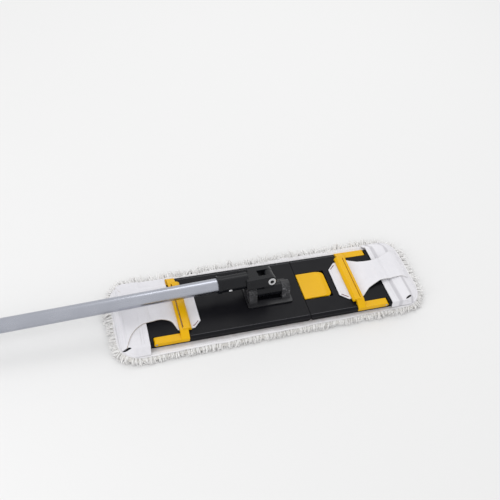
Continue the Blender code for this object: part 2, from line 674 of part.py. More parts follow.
# ---------------------------------------------------------------- foot pedal
def pedal():
    """A plate hinged at its right, with two lugs on the pin and a latch tooth at the seam."""
    top = PEDAL_Z + PEDAL_THICKNESS
    right_low, right_high = PEDAL_FRONT + PEDAL_CORNER, PEDAL_BACK - PEDAL_CORNER

    def outline(right, corner):
        front, back = PEDAL_FRONT, PEDAL_BACK
        return [(PEDAL_X, front), *arc((right - corner, right_low), corner, -90, 0, 6),
                *arc((right - corner, right_high), corner, 0, 90, 6), (PEDAL_X, back)]

    full = outline(PEDAL_RIGHT, PEDAL_CORNER)
    share = PEDAL_BEVEL_WIDTH / PEDAL_LENGTH
    upper = [(PEDAL_X + (x - PEDAL_X) * (1 - share), y) for x, y in full]
    rings = [[(x, y, PEDAL_Z) for x, y in full], [(x, y, top - PEDAL_BEVEL_DROP) for x, y in full],
             [(x, y, top) for x, y in upper]]
    obj = add_object("release_pedal", loft(rings), YELLOW, PEDAL_PIN)
    lug = [(PEDAL_PIN.x - PEDAL_LUG_RADIUS, PEDAL_Z + GAP), *arc((PEDAL_PIN.x, PEDAL_PIN.z), PEDAL_LUG_RADIUS, 180,
           360, 10), (PEDAL_PIN.x + PEDAL_LUG_RADIUS, PEDAL_Z + GAP)]
    for middle in (PEDAL_FRONT + PEDAL_CORNER, PEDAL_BACK - PEDAL_CORNER):
        join(obj, plate(lug, "XZ", middle - PEDAL_LUG_WIDTH / 2, middle + PEDAL_LUG_WIDTH / 2), "lug")
    tooth_z = FOLD_Z + LATCH_TOOTH + GAP
    hook = [(PEDAL_X + GAP / 3, PEDAL_Z + GAP), (PEDAL_X + GAP / 3, tooth_z + LATCH_TOOTH),
            (FOLD_X - LATCH_REACH, tooth_z + LATCH_TOOTH / 2), (FOLD_X - LATCH_REACH, tooth_z),
            (PEDAL_X + LATCH_REACH, tooth_z), (PEDAL_X + LATCH_REACH, PEDAL_Z + GAP)]
    join(obj, plate(hook, "XZ", PEDAL_MIDDLE_Y - LATCH_WIDTH / 2, PEDAL_MIDDLE_Y + LATCH_WIDTH / 2), "latch")
    cut(obj, rod(PEDAL_PIN_RADIUS + RUNNING, (PEDAL_PIN.x, PEDAL_FRONT - RIB, PEDAL_PIN.z),
                 (PEDAL_PIN.x, PEDAL_BACK + RIB, PEDAL_PIN.z), 20), "pin_bore")


def pedal_pin():
    reach = PEDAL_MARGIN + PEDAL_PIN_RADIUS * 3 - GAP
    add_object("pedal_pin", rod(PEDAL_PIN_RADIUS, (PEDAL_PIN.x, PEDAL_FRONT - reach, PEDAL_PIN.z),
                                (PEDAL_PIN.x, PEDAL_BACK + reach, PEDAL_PIN.z), 20), STEEL, PEDAL_PIN)


def pedal_spring():
    """A compression coil that pushes the pedal's free side up."""
    low = PEDAL_FLOOR_Z + SPRING_WIRE_RADIUS + GAP
    high = PEDAL_Z - SPRING_WIRE_RADIUS - GAP
    centre = Vector((PEDAL_X + PEDAL_LENGTH * 0.4, PEDAL_MIDDLE_Y, 0))
    curve = bpy.data.curves.new("pedal_spring", "CURVE")
    curve.dimensions = "3D"
    curve.bevel_depth = SPRING_WIRE_RADIUS
    curve.bevel_resolution = 1
    curve.use_fill_caps = True
    count = int(SPRING_TURNS * 12)
    spline = curve.splines.new("POLY")
    spline.points.add(count)
    for number, point in enumerate(spline.points):
        angle = 2 * math.pi * SPRING_TURNS * number / count
        z = low + (high - low) * number / count
        point.co = (centre.x + SPRING_RADIUS * math.cos(angle), centre.y + SPRING_RADIUS * math.sin(angle), z, 1)
    obj = bpy.data.objects.new("pedal_spring", curve)
    obj.data.materials.append(STEEL)
    PARTS.objects.link(obj)


# ---------------------------------------------------------------- swivel joint
def bracket():
    """The base plate and two ears that carry the lower axle."""
    half = BRACKET_LENGTH / 2
    top = BRACKET_Z + BRACKET_BASE
    base = rounded_rectangle((-half, BRACKET_FRONT), (half, BRACKET_BACK), 0.003, 3)
    obj = add_object("joint_bracket", plate(base, "XY", BRACKET_Z, top), BLACK)
    ear = [(AXLE_Y - EAR_FOOT, BRACKET_Z + GAP), (AXLE_Y + EAR_FOOT, BRACKET_Z + GAP),
           *arc((AXLE_Y, AXLE.z), EAR_RADIUS, 10, 170, 14)]
    for side in (-1, 1):
        x0, x1 = mirrored(side, EAR_INNER, EAR_OUTER)
        join(obj, plate(ear, "YZ", x0, x1), "ear")
    cut(obj, box((-EAR_INNER, AXLE_Y - BARREL_RADIUS - 0.002, 0), (EAR_INNER, AXLE_Y + BARREL_RADIUS + 0.002,
                                                                WIDE)), "window")
    cut(obj, rod(AXLE_RADIUS + RUNNING, (-half, AXLE.y, AXLE.z), (half, AXLE.y, AXLE.z)), "axle_bore")
    for x, y in screw_places():
        end = DECK_TOP + SCREW_GRIP + 2 * GAP
        cut(obj, rod(SCREW_RADIUS + RUNNING, (x, y, 0), (x, y, end), 16), "screw_hole")


def bracket_screws():
    for number, (x, y) in enumerate(screw_places(), 1):
        low = DECK_Z + GAP
        neck = low + SCREW_HEAD_HEIGHT
        end = DECK_TOP + SCREW_GRIP
        profile = [(0, end), (SCREW_RADIUS * 0.6, end), (SCREW_RADIUS, end - 0.001), (SCREW_RADIUS, neck),
                   (SCREW_HEAD_RADIUS, neck), (SCREW_HEAD_RADIUS, low), (0, low)]
        mesh = turned(profile, 16)
        mesh.transform(Matrix.Translation((x, y, 0)))
        add_object(f"bracket_screw_{number}", mesh, STEEL, (x, y, low))


def lower_axle():
    add_object("lower_axle", rod(AXLE_RADIUS, (-EAR_OUTER, AXLE.y, AXLE.z), (EAR_OUTER, AXLE.y, AXLE.z)), STEEL,
               AXLE)


def knuckle(tilt):
    """The barrel on the lower axle with the tongue that carries the upper pivot."""
    half = BARREL_LENGTH / 2
    obj = add_object("knuckle", rod(BARREL_RADIUS, (-half, 0, 0), (half, 0, 0)), BLACK, parent=tilt)
    tongue = [(PIVOT_X - TONGUE_RADIUS, 0), (PIVOT_X + TONGUE_RADIUS, 0),
              *arc((PIVOT_X, PIVOT_ARM), TONGUE_RADIUS, 0, 180, 14)]
    join(obj, plate(tongue, "XZ", -TONGUE_WIDTH / 2, TONGUE_WIDTH / 2), "tongue")
    cut(obj, rod(AXLE_RADIUS + RUNNING, (-half - GAP, 0, 0), (half + GAP, 0, 0)), "axle_bore")
    cut(obj, rod(RIVET_RADIUS + RUNNING, (PIVOT_X, -FORK_WIDTH, PIVOT_ARM), (PIVOT_X, FORK_WIDTH, PIVOT_ARM)),
        "rivet_bore")


def pivot_rivet(swing):
    """A hollow rivet through the fork and the tongue, with a rolled ring at each end."""
    shank_end = FORK_WIDTH / 2 + GAP
    end = shank_end + RIVET_FLANGE
    edge = RIVET_FLANGE / 2
    profile = [(RIVET_HOLE_RADIUS, end), (RIVET_FLANGE_RADIUS - edge, end), (RIVET_FLANGE_RADIUS, end - edge),
               (RIVET_FLANGE_RADIUS, shank_end), (RIVET_RADIUS, shank_end), (RIVET_RADIUS, -shank_end),
               (RIVET_FLANGE_RADIUS, -shank_end), (RIVET_FLANGE_RADIUS, -end + edge),
               (RIVET_FLANGE_RADIUS - edge, -end), (RIVET_HOLE_RADIUS, -end)]
    mesh = turned(profile, 24, closed=True)
    mesh.transform(Matrix.Rotation(math.radians(90), 4, "X"))
    add_object("pivot_rivet", mesh, STEEL, parent=swing)


# ---------------------------------------------------------------- handle
def button_direction(outward=1.0):
    roll = math.radians(BUTTON_ROLL)
    return Vector((0, -math.cos(roll), math.sin(roll))) * outward


def button_point(radius):
    return Vector((-BUTTON_AT, 0, 0)) + button_direction(radius)


def socket_fork(swing):
    """The fork on the upper pivot and the sleeve that holds the tube."""
    half = FORK_WIDTH / 2
    outline = [(-FORK_LENGTH, -FORK_RADIUS), *arc((0, 0), FORK_RADIUS, -90, 90, 14), (-FORK_LENGTH, FORK_RADIUS)]
    obj = add_object("socket_fork", plate(outline, "XZ", -half, half), BLACK, parent=swing)
    ring = SOCKET_RADIUS + MOUTH_RING_PROUD
    sleeve = [(0, SOCKET_MOUTH), (ring, SOCKET_MOUTH), (ring, SOCKET_MOUTH - MOUTH_RING_LENGTH),
              (SOCKET_RADIUS, SOCKET_MOUTH - MOUTH_RING_LENGTH), (SOCKET_RADIUS, SOCKET_START), (0, SOCKET_START)]
    join(obj, along_handle(turned(sleeve, 36)), "sleeve")
    ridge = box((-SOCKET_MOUTH + MOUTH_RING_LENGTH / 2, -RIDGE_WIDTH / 2, SOCKET_BORE + SOCKET_WALL / 2),
                (-FORK_LENGTH + RIDGE_WIDTH, RIDGE_WIDTH / 2, SOCKET_RADIUS + RIDGE_PROUD))
    ridge.transform(Matrix.Rotation(-math.radians(RIDGE_ROLL), 4, "X"))
    join(obj, ridge, "ridge")
    cut(obj, rod(SOCKET_BORE, (-SOCKET_MOUTH - GAP, 0, 0), (-SOCKET_STOP + GAP, 0, 0), 36), "tube_bore")
    cut(obj, box((-FORK_SLOT_DEPTH, -PRONG_INNER, -WIDE), (FORK_RADIUS * 2, PRONG_INNER, WIDE)), "slot")
    cut(obj, rod(RIVET_RADIUS + RUNNING, (0, -FORK_WIDTH, 0), (0, FORK_WIDTH, 0)), "rivet_bore")
    cut(obj, rod(BUTTON_RADIUS + RUNNING, button_point(0), button_point(WIDE), 20), "button_hole")


def pole_tube(swing):
    profile = [(TUBE_BORE, TUBE_END), (TUBE_RADIUS, TUBE_END), (TUBE_RADIUS, SOCKET_STOP),
               (TUBE_BORE, SOCKET_STOP)]
    obj = add_object("pole_tube", along_handle(turned(profile, 36, closed=True)), ALUMINIUM, parent=swing)
    cut(obj, rod(BUTTON_RADIUS + RUNNING, button_point(0), button_point(WIDE), 20), "button_hole")


def snap_button(swing):
    """The round-nosed button that locks the tube in the socket, with its inner flange."""
    nose = SOCKET_RADIUS + BUTTON_PROUD
    foot = math.sqrt(TUBE_BORE ** 2 - BUTTON_FLANGE_RADIUS ** 2) - 2 * GAP
    base = foot - BUTTON_FLANGE
    dome = [(BUTTON_RADIUS * math.sin(math.radians(a)), nose - BUTTON_PROUD * (1 - math.cos(math.radians(a))))
            for a in range(0, 91, 18)]
    profile = [*dome, (BUTTON_RADIUS, foot), (BUTTON_FLANGE_RADIUS, foot), (BUTTON_FLANGE_RADIUS, base), (0, base)]
    mesh = turned(profile, 24)
    mesh.transform(Matrix.Translation((-BUTTON_AT, 0, 0)) @ turn_to(button_direction()))
    add_object("snap_button", mesh, STEEL, button_point(0), swing)
    return base


def snap_spring(swing, button_base):
    """A hairpin leaf inside the tube that pushes the button out."""
    top = button_base - GAP
    low = -math.sqrt(TUBE_BORE ** 2 - (LEAF_WIDTH / 2) ** 2) + GAP
    bend = (top - low) / 2
    centre = (-LEAF_LENGTH, (top + low) / 2)
    outline = [(0, top), *arc(centre, bend, 90, 270, 12), (0, low), (0, low + LEAF_THICKNESS),
               *arc(centre, bend - LEAF_THICKNESS, 270, 90, 12), (0, top - LEAF_THICKNESS)]
    mesh = plate(outline, "XZ", -LEAF_WIDTH / 2, LEAF_WIDTH / 2)
    reach = BUTTON_FLANGE_RADIUS + LEAF_THICKNESS
    turn = Matrix.Rotation(math.radians(90 - BUTTON_ROLL), 4, "X")
    mesh.transform(Matrix.Translation((-BUTTON_AT + reach, 0, 0)) @ turn)
    add_object("snap_spring", mesh, STEEL, (-BUTTON_AT, 0, 0), swing)


def grip(swing):
    """The moulded sleeve at the upper end, with shallow grooves."""
    start, end = TUBE_END - GRIP_LENGTH, TUBE_END
    edge = 0.0030
    pitch = (GRIP_LENGTH - 2 * edge) / GRIP_GROOVES
    outer = [(GRIP_RADIUS - edge / 2, end), (GRIP_RADIUS, end - edge)]
    for number in range(1, GRIP_GROOVES):
        middle = end - edge - pitch * number
        outer += [(GRIP_RADIUS, middle + edge), (GRIP_RADIUS - GRIP_WAIST, middle), (GRIP_RADIUS, middle - edge)]
    outer += [(GRIP_RADIUS, start + edge), (GRIP_RADIUS - edge / 2, start)]
    bore = TUBE_RADIUS + GAP
    add_object("grip", along_handle(turned([(bore, end), *outer, (bore, start)], 32, closed=True)), BLACK,
               parent=swing)


def grip_cap(swing):
    """The end plug with a flat eye to hang the mop from."""
    start = TUBE_END + GAP
    spigot = TUBE_BORE - GAP
    profile = [(0, start + CAP_FLANGE), (GRIP_RADIUS - 0.0015, start + CAP_FLANGE),
               (GRIP_RADIUS - 0.0005, start + CAP_FLANGE / 2), (GRIP_RADIUS - 0.0005, start), (spigot, start),
               (spigot, start - CAP_SPIGOT), (0, start - CAP_SPIGOT)]
    obj = add_object("grip_cap", along_handle(turned(profile, 32)), YELLOW, parent=swing)
    radius = GRIP_RADIUS - 0.002
    centre = (-start - CAP_LENGTH + radius, 0)
    neck = -start - CAP_FLANGE - CAP_NECK_LENGTH
    eye = [(neck, -radius), (neck, radius), *arc(centre, radius, 90, 270, 16)]
    join(obj, plate(eye, "XZ", -CAP_EYE_THICKNESS / 2, CAP_EYE_THICKNESS / 2), "eye")
    half = CAP_NECK_THICKNESS / 2
    join(obj, box((neck - CAP_NECK_LENGTH, -half, -radius + GAP), (-start - CAP_FLANGE / 2, half, radius - GAP)),
         "neck")
    cut(obj, rod(HANG_HOLE_RADIUS, (centre[0], -WIDE, 0), (centre[0], WIDE, 0), 24), "hang_hole")


# ---------------------------------------------------------------- assembly
def build_mop():
    mop_layer("mop_pile", PILE_LENGTH, PILE_WIDTH, PILE_CORNER, 0, PILE_HEIGHT, YARN)
    mop_layer("mop_backing", BACKING_LENGTH, BACKING_WIDTH, BACKING_CORNER, BACKING_Z,
              BACKING_Z + BACKING_THICKNESS, WHITE)
    fold_strip()
    for side, label in ((-1, "left"), (1, "right")):
        pocket(side, label)
        tab(side, label)


def build_holder():
    for side, label in ((-1, "left"), (1, "right")):
        deck(side, label)
        clamp(side, label)
    fold_pins()
    clamp_pins()
    pedal()
    pedal_pin()
    pedal_spring()


def build_joint_and_handle():
    bracket()
    bracket_screws()
    lower_axle()
    tilt = add_empty("tilt_axis", AXLE, (math.radians(-TILT_BACK), 0, 0))
    swing = add_empty("swing_axis", (PIVOT_X, 0, PIVOT_ARM), (0, -HANDLE_DROP, 0), tilt)
    knuckle(tilt)
    pivot_rivet(swing)
    socket_fork(swing)
    pole_tube(swing)
    base = snap_button(swing)
    snap_spring(swing, base)
    grip(swing)
    grip_cap(swing)


build_mop()
build_holder()
build_joint_and_handle()
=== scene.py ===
# %% [markdown]
# # A flat mop, dressed for its picture
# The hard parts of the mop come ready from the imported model: the folding holder, the clamps,
# the pedal, the swivel joint and the handle. This lesson gives each of them a finish, and then
# makes the soft goods as new surfaces: the woven mop with its pockets, tabs and hems, its pile
# and its cotton fringe. Every new surface is worked out as whole numpy arrays and handed to a
# mesh in one go, which keeps it quick, smooth and easy to measure.

# %% The frame
import math

import bpy
import numpy as np
from mathutils import Matrix, Vector


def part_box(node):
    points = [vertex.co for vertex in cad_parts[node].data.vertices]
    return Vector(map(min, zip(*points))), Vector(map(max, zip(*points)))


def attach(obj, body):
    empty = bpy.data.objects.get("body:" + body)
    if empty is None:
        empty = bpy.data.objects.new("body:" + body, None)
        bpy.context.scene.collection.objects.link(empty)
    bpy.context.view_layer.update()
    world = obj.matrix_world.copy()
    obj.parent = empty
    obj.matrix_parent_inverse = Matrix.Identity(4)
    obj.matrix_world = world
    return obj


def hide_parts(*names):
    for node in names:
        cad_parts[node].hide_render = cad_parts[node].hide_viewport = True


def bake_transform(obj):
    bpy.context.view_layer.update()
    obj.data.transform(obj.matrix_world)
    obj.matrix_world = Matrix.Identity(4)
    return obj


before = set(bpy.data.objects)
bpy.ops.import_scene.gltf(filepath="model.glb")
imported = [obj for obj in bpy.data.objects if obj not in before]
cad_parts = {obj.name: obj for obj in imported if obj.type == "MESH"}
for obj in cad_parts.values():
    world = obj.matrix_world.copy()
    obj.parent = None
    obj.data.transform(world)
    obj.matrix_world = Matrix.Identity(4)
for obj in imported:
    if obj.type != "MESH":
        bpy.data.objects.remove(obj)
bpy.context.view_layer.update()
deck_low, deck_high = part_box("deck_left")
chance = np.random.default_rng(20)
MM = 0.001

# %% [markdown]
# ## Camera
# The camera looks down at the holder from the front left, about a metre away. Its three axes
# are given as rows (right, up and back), which is all that a rotation matrix is.

# %% Camera
CAMERA_AXES = ((0.95209, -0.2803, 0.12224), (0.13762, 0.74973, 0.64727),
               (-0.27308, -0.59943, 0.75239))
CAMERA_PLACE = (-0.3496, -0.667, 0.9882)
camera_data = bpy.data.cameras.new("view")
camera_data.lens = 51.14
camera_data.sensor_width = 36
camera = bpy.data.objects.new("view", camera_data)
bpy.context.scene.collection.objects.link(camera)
turn = Matrix(CAMERA_AXES).transposed()
camera.matrix_world = Matrix.Translation(CAMERA_PLACE) @ turn.to_4x4()
bpy.context.scene.camera = camera
print("camera at", [round(v, 3) for v in camera.location])

# %% [markdown]
# ## Floor and light
# A studio sweep would show an edge behind so low an object, so the floor is one wide pale
# plane under a bright dome. A broad panel overhead gives the soft band along the tube, and a
# strip from the left models the fringe with short, soft shadows.

# %% Floor and light
DOME_STRENGTH, PANEL_POWER, FLOOR_HALF = 0.93, 6, 6


def flat_square(name, half):
    """Four corners at plus or minus half, at height zero."""
    mesh = bpy.data.meshes.new(name)
    corners = np.array([(-1, -1), (1, -1), (1, 1), (-1, 1)]) * half
    mesh.from_pydata([(x, y, 0) for x, y in corners], [], [(0, 1, 2, 3)])
    obj = bpy.data.objects.new(name, mesh)
    bpy.context.scene.collection.objects.link(obj)
    return obj


def soft_panel(name, place, aim, size, power):
    """An area light at a place, turned so that its -Z points at the aim."""
    light = bpy.data.lights.new(name, "AREA")
    light.shape, light.size, light.size_y, light.energy = "RECTANGLE", size[0], size[1], power
    obj = bpy.data.objects.new(name, light)
    obj.location = place
    obj.rotation_euler = (Vector(aim) - Vector(place)).to_track_quat("-Z", "Y").to_euler()
    bpy.context.scene.collection.objects.link(obj)
    return obj


floor = flat_square("floor", FLOOR_HALF)
world = bpy.data.worlds.new("dome")
world.use_nodes = True
world.node_tree.nodes["Background"].inputs["Color"].default_value = (1, 1, 1, 1)
world.node_tree.nodes["Background"].inputs["Strength"].default_value = DOME_STRENGTH
bpy.context.scene.world = world
bpy.context.scene.view_settings.view_transform = "Standard"
soft_panel("overhead", (0.5, 1.1, 1.7), (0, 0, 0), (1.2, 0.7), PANEL_POWER)
soft_panel("left_strip", (-1.5, -0.5, 0.9), (0, 0, 0), (0.35, 1.2), PANEL_POWER)

# %% [markdown]
# ## A short way to write shader nodes
# A node tree is easier to read as nested calls than as a list of links. `node` adds one node
# and takes either numbers or other nodes' sockets as inputs; `maths` and `mix` cover the two
# kinds that every pattern needs.

# %% Node helpers


def node(tree, kind, inputs=None, **settings):
    """Add a node, set its options, and fill its inputs with sockets or plain values."""
    made = tree.nodes.new(kind)
    for key, value in settings.items():
        setattr(made, key, value)
    for key, value in (inputs or {}).items():
        if isinstance(value, bpy.types.NodeSocket):
            tree.links.new(value, made.inputs[key])
        else:
            made.inputs[key].default_value = value
    return made


def maths(tree, operation, a, b=0.0, clamp=False):
    return node(tree, "ShaderNodeMath", {0: a, 1: b}, operation=operation, use_clamp=clamp).outputs[0]


def weigh(tree, a, share_a, b, share_b, clamp=False):
    """Each value times its own share, added up."""
    parts = maths(tree, "MULTIPLY", a, share_a), maths(tree, "MULTIPLY", b, share_b)
    return maths(tree, "ADD", *parts, clamp=clamp)


def mix(tree, factor, a, b):
    """Blend two colours by a factor from 0 to 1."""
    made = node(tree, "ShaderNodeMix", {"Factor": factor, 6: a, 7: b}, data_type="RGBA")
    return made.outputs[2]


def spread(tree, value, low, high, to_low=0.0, to_high=1.0):
    """Stretch a range of values to another, and cut off what lies outside."""
    made = node(tree, "ShaderNodeMapRange", {"Value": value, "From Min": low, "From Max": high,
                                             "To Min": to_low, "To Max": to_high})
    return made.outputs[0]


def axes_of(tree, vector):
    return node(tree, "ShaderNodeSeparateXYZ", {"Vector": vector}).outputs


def noise(tree, vector, scale, detail=3.0, roughness=0.5):
    return node(tree, "ShaderNodeTexNoise", {"Vector": vector, "Scale": scale, "Detail": detail,
                                             "Roughness": roughness}).outputs["Fac"]


def new_group(name, inputs, outputs):
    """A node group with sockets given as (label, kind, default) and (label, kind)."""
    tree = bpy.data.node_groups.new(name, "ShaderNodeTree")
    for label, kind, default in inputs:
        socket = tree.interface.new_socket(label, in_out="INPUT", socket_type=kind)
        if default is not None:
            socket.default_value = default
    for label, kind in outputs:
        tree.interface.new_socket(label, in_out="OUTPUT", socket_type=kind)
    return tree, node(tree, "NodeGroupInput").outputs, node(tree, "NodeGroupOutput")


def finish_group(tree, sink, **values):
    for label, socket in values.items():
        tree.links.new(socket, sink.inputs[label.replace("_", " ")])
    return tree


def use(tree, group, **inputs):
    """Place a node group in a material with its own values."""
    made = node(tree, "ShaderNodeGroup", node_tree=group)
    for label, value in inputs.items():
        socket = made.inputs[label.replace("_", " ")]
        if isinstance(value, bpy.types.NodeSocket):
            tree.links.new(value, socket)
        else:
            socket.default_value = value
    return made.outputs


FLOAT, VECTOR, COLOUR = "NodeSocketFloat", "NodeSocketVector", "NodeSocketColor"
print("helpers ready")

# %% [markdown]
# ## Shared effects
# Four effects return in several finishes, so each is built once as a node group:
# - `moulded_grain`: the fine spark-eroded texture that hides marks on moulded plastic, and
#   broad cloudy patches where the gloss differs a little.
# - `soft_edges`: a real moulding has no razor edges. The bevel node bends the normal round
#   each edge, and where it differs from the flat normal, a mask says "this is an edge".
# - `plain_weave`: over-and-under threads from two crossed ridges, chosen by a checkerboard.
# - `handling`: uneven, slightly warm or grey marks from use.

# %% Shared node groups


def build_moulded_grain():
    tree, given, sink = new_group("moulded_grain", [("Vector", VECTOR, None), ("Size", FLOAT, 0.4)],
                                  [("Height", FLOAT), ("Patches", FLOAT)])
    scale = maths(tree, "DIVIDE", 1000.0, given["Size"])
    fine = noise(tree, given["Vector"], scale, 2.0, 0.6)
    pits = node(tree, "ShaderNodeTexVoronoi", {"Vector": given["Vector"], "Scale": scale},
                feature="SMOOTH_F1").outputs["Distance"]
    height = weigh(tree, fine, 0.6, pits, 0.5)
    return finish_group(tree, sink, Height=height, Patches=noise(tree, given["Vector"], 34.0, 4.0, 0.6))


def build_soft_edges():
    tree, given, sink = new_group("soft_edges", [("Radius", FLOAT, 0.0006), ("Vector", VECTOR, None)],
                                  [("Normal", VECTOR), ("Edge", FLOAT)])
    rounded = node(tree, "ShaderNodeBevel", {"Radius": given["Radius"]}, samples=6).outputs[0]
    flat = node(tree, "ShaderNodeNewGeometry").outputs["Normal"]
    same = node(tree, "ShaderNodeVectorMath", {0: rounded, 1: flat},
                operation="DOT_PRODUCT").outputs["Value"]
    edge = spread(tree, maths(tree, "SUBTRACT", 1.0, same), 0.02, 0.22)
    worn = maths(tree, "MULTIPLY", edge, spread(tree, noise(tree, given["Vector"], 160.0), 0.35, 0.7))
    return finish_group(tree, sink, Normal=rounded, Edge=worn)


def build_plain_weave():
    tree, given, sink = new_group("plain_weave", [("Vector", VECTOR, None), ("Pitch", FLOAT, 0.0012)],
                                  [("Height", FLOAT), ("Gap", FLOAT)])
    axes = axes_of(tree, given["Vector"])
    counts = [maths(tree, "DIVIDE", axes[i], given["Pitch"]) for i in range(2)]
    cells = [maths(tree, "FLOOR", count) for count in counts]
    ridges = [maths(tree, "SINE", maths(tree, "MULTIPLY", maths(tree, "FRACT", count), math.pi))
              for count in counts]
    over = maths(tree, "PINGPONG", maths(tree, "ADD", cells[0], cells[1]), 1.0)
    other = maths(tree, "SUBTRACT", 1.0, over)
    height = maths(tree, "ADD", maths(tree, "MULTIPLY", over, ridges[0]),
                   maths(tree, "MULTIPLY", other, ridges[1]))
    lowest = maths(tree, "MINIMUM", ridges[0], ridges[1])
    return finish_group(tree, sink, Height=height, Gap=spread(tree, lowest, 0.35, 0.0))


def build_handling():
    tree, given, sink = new_group("handling", [("Vector", VECTOR, None), ("Size", FLOAT, 30.0)],
                                  [("Marks", FLOAT), ("Cloud", FLOAT)])
    large = noise(tree, given["Vector"], given["Size"], 5.0, 0.62)
    small = noise(tree, given["Vector"], maths(tree, "MULTIPLY", given["Size"], 7.0), 3.0, 0.6)
    marks = spread(tree, maths(tree, "MULTIPLY", large, small), 0.24, 0.42)
    return finish_group(tree, sink, Marks=marks, Cloud=spread(tree, large, 0.3, 0.7))


GRAIN, EDGES, WEAVE, HANDLING = (build_moulded_grain(), build_soft_edges(), build_plain_weave(),
                                 build_handling())
print("node groups:", [group.name for group in bpy.data.node_groups])

# %% [markdown]
# ## Finishes for the hard parts
# A finish starts from a plain shader whose constant values sit on its own sockets. Colour,
# roughness and the small bumps are then fed from the shared groups.

# %% Material helper


def start_material(name, **constants):
    """A material with a Principled shader; returns it, its tree, the shader and object space."""
    material = bpy.data.materials.new(name)
    material.use_nodes = True
    tree = material.node_tree
    shader = tree.nodes["Principled BSDF"]
    for label, value in constants.items():
        shader.inputs[label.replace("_", " ")].default_value = value
    return material, tree, shader, node(tree, "ShaderNodeTexCoord").outputs["Object"]


def feed(tree, shader, **sockets):
    for label, socket in sockets.items():
        tree.links.new(socket, shader.inputs[label.replace("_", " ")])


def bump(tree, height, distance, normal=None, strength=1.0):
    inputs = {"Height": height, "Distance": distance, "Strength": strength}
    if normal is not None:
        inputs["Normal"] = normal
    return node(tree, "ShaderNodeBump", inputs).outputs[0]


def moulded(name, base, patch, worn, gloss, grain=0.4, relief=0.00002, radius=0.0006, **constants):
    """Moulded plastic: grain, cloudy gloss, softened edges that are a little lighter from wear."""
    material, tree, shader, place = start_material(name, **constants)
    grained = use(tree, GRAIN, Vector=place, Size=grain)
    edged = use(tree, EDGES, Radius=radius, Vector=place)
    used = use(tree, HANDLING, Vector=place, Size=45.0)
    colour = mix(tree, grained["Patches"], (*base, 1), (*patch, 1))
    colour = mix(tree, maths(tree, "MULTIPLY", edged["Edge"], 0.55), colour, (*worn, 1))
    uneven = maths(tree, "ADD", grained["Patches"], maths(tree, "MULTIPLY", used["Marks"], 0.35))
    rough = spread(tree, uneven, 0.25, 1.0, gloss[0], gloss[1])
    feed(tree, shader, Base_Color=colour, Roughness=rough,
         Normal=bump(tree, grained["Height"], relief, edged["Normal"]))
    return material


deck_plastic = moulded("deck_plastic", (0.0035, 0.0035, 0.0050), (0.0060, 0.0060, 0.0082),
                       (0.030, 0.030, 0.036), (0.34, 0.50), 0.5, 0.00003, Specular_IOR_Level=0.13)
swivel_plastic = moulded("swivel_plastic", (0.0035, 0.0037, 0.0050), (0.0065, 0.0070, 0.0095),
                         (0.035, 0.036, 0.045), (0.24, 0.38), 0.5, 0.00002, Specular_IOR_Level=0.24)
bead_plastic = moulded("bead_plastic", (0.020, 0.020, 0.026), (0.028, 0.028, 0.034), (0.06, 0.06, 0.07),
                       (0.20, 0.32), 0.5, 0.00001, Specular_IOR_Level=0.6)
yellow_plastic = moulded("yellow_plastic", (0.70, 0.375, 0.001), (0.78, 0.445, 0.002),
                         (0.90, 0.58, 0.02), (0.26, 0.40), 0.6, 0.00001, 0.0009,
                         Specular_IOR_Level=0.15, Coat_Weight=0.03)
print("plastics:", deck_plastic.name, swivel_plastic.name, yellow_plastic.name)

# %% [markdown]
# The ears of the bracket are scuffed to a rough, speckled grey, because they stand highest
# and meet the furniture first. The scuffs are a noise threshold that only acts above the base plate
# and towards the front, so the plate itself stays clean.

# %% Scuffed bracket


def scuffed_plastic():
    material, tree, shader, place = start_material("scuffed_plastic", Specular_IOR_Level=0.4)
    grained = use(tree, GRAIN, Vector=place, Size=0.7)
    edged = use(tree, EDGES, Radius=0.0008, Vector=place)
    axes = axes_of(tree, place)
    raised = spread(tree, axes["Z"], 0.0300, 0.0350)
    front = spread(tree, axes["Y"], 0.006, -0.004)
    speckle = spread(tree, noise(tree, place, 420.0, 5.0, 0.75), 0.46, 0.60)
    broad = spread(tree, noise(tree, place, 90.0, 3.0, 0.6), 0.38, 0.60)
    scuff = maths(tree, "MULTIPLY", maths(tree, "MULTIPLY", raised, front),
                  maths(tree, "MULTIPLY", speckle, broad))
    colour = mix(tree, grained["Patches"], (0.010, 0.010, 0.012, 1), (0.018, 0.018, 0.021, 1))
    colour = mix(tree, maths(tree, "MULTIPLY", scuff, 0.85), colour, (0.17, 0.17, 0.18, 1))
    rough = spread(tree, scuff, 0.0, 1.0, 0.40, 0.75)
    height = maths(tree, "SUBTRACT", grained["Height"], maths(tree, "MULTIPLY", scuff, 1.5))
    feed(tree, shader, Base_Color=colour, Roughness=rough,
         Normal=bump(tree, height, 0.00006, edged["Normal"]))
    return material


bracket_plastic = scuffed_plastic()
print("bracket finish:", bracket_plastic.name)

# %% [markdown]
# Drawn aluminium tube carries faint lines along its length: noise stretched a hundred times
# along the handle. Turned and stamped steel is brighter and smoother. The grip is a soft
# rubber sleeve with close rings.

# %% Metals and rubber


def stretched(tree, place, scale):
    return node(tree, "ShaderNodeMapping", {"Vector": place, "Scale": scale}).outputs[0]


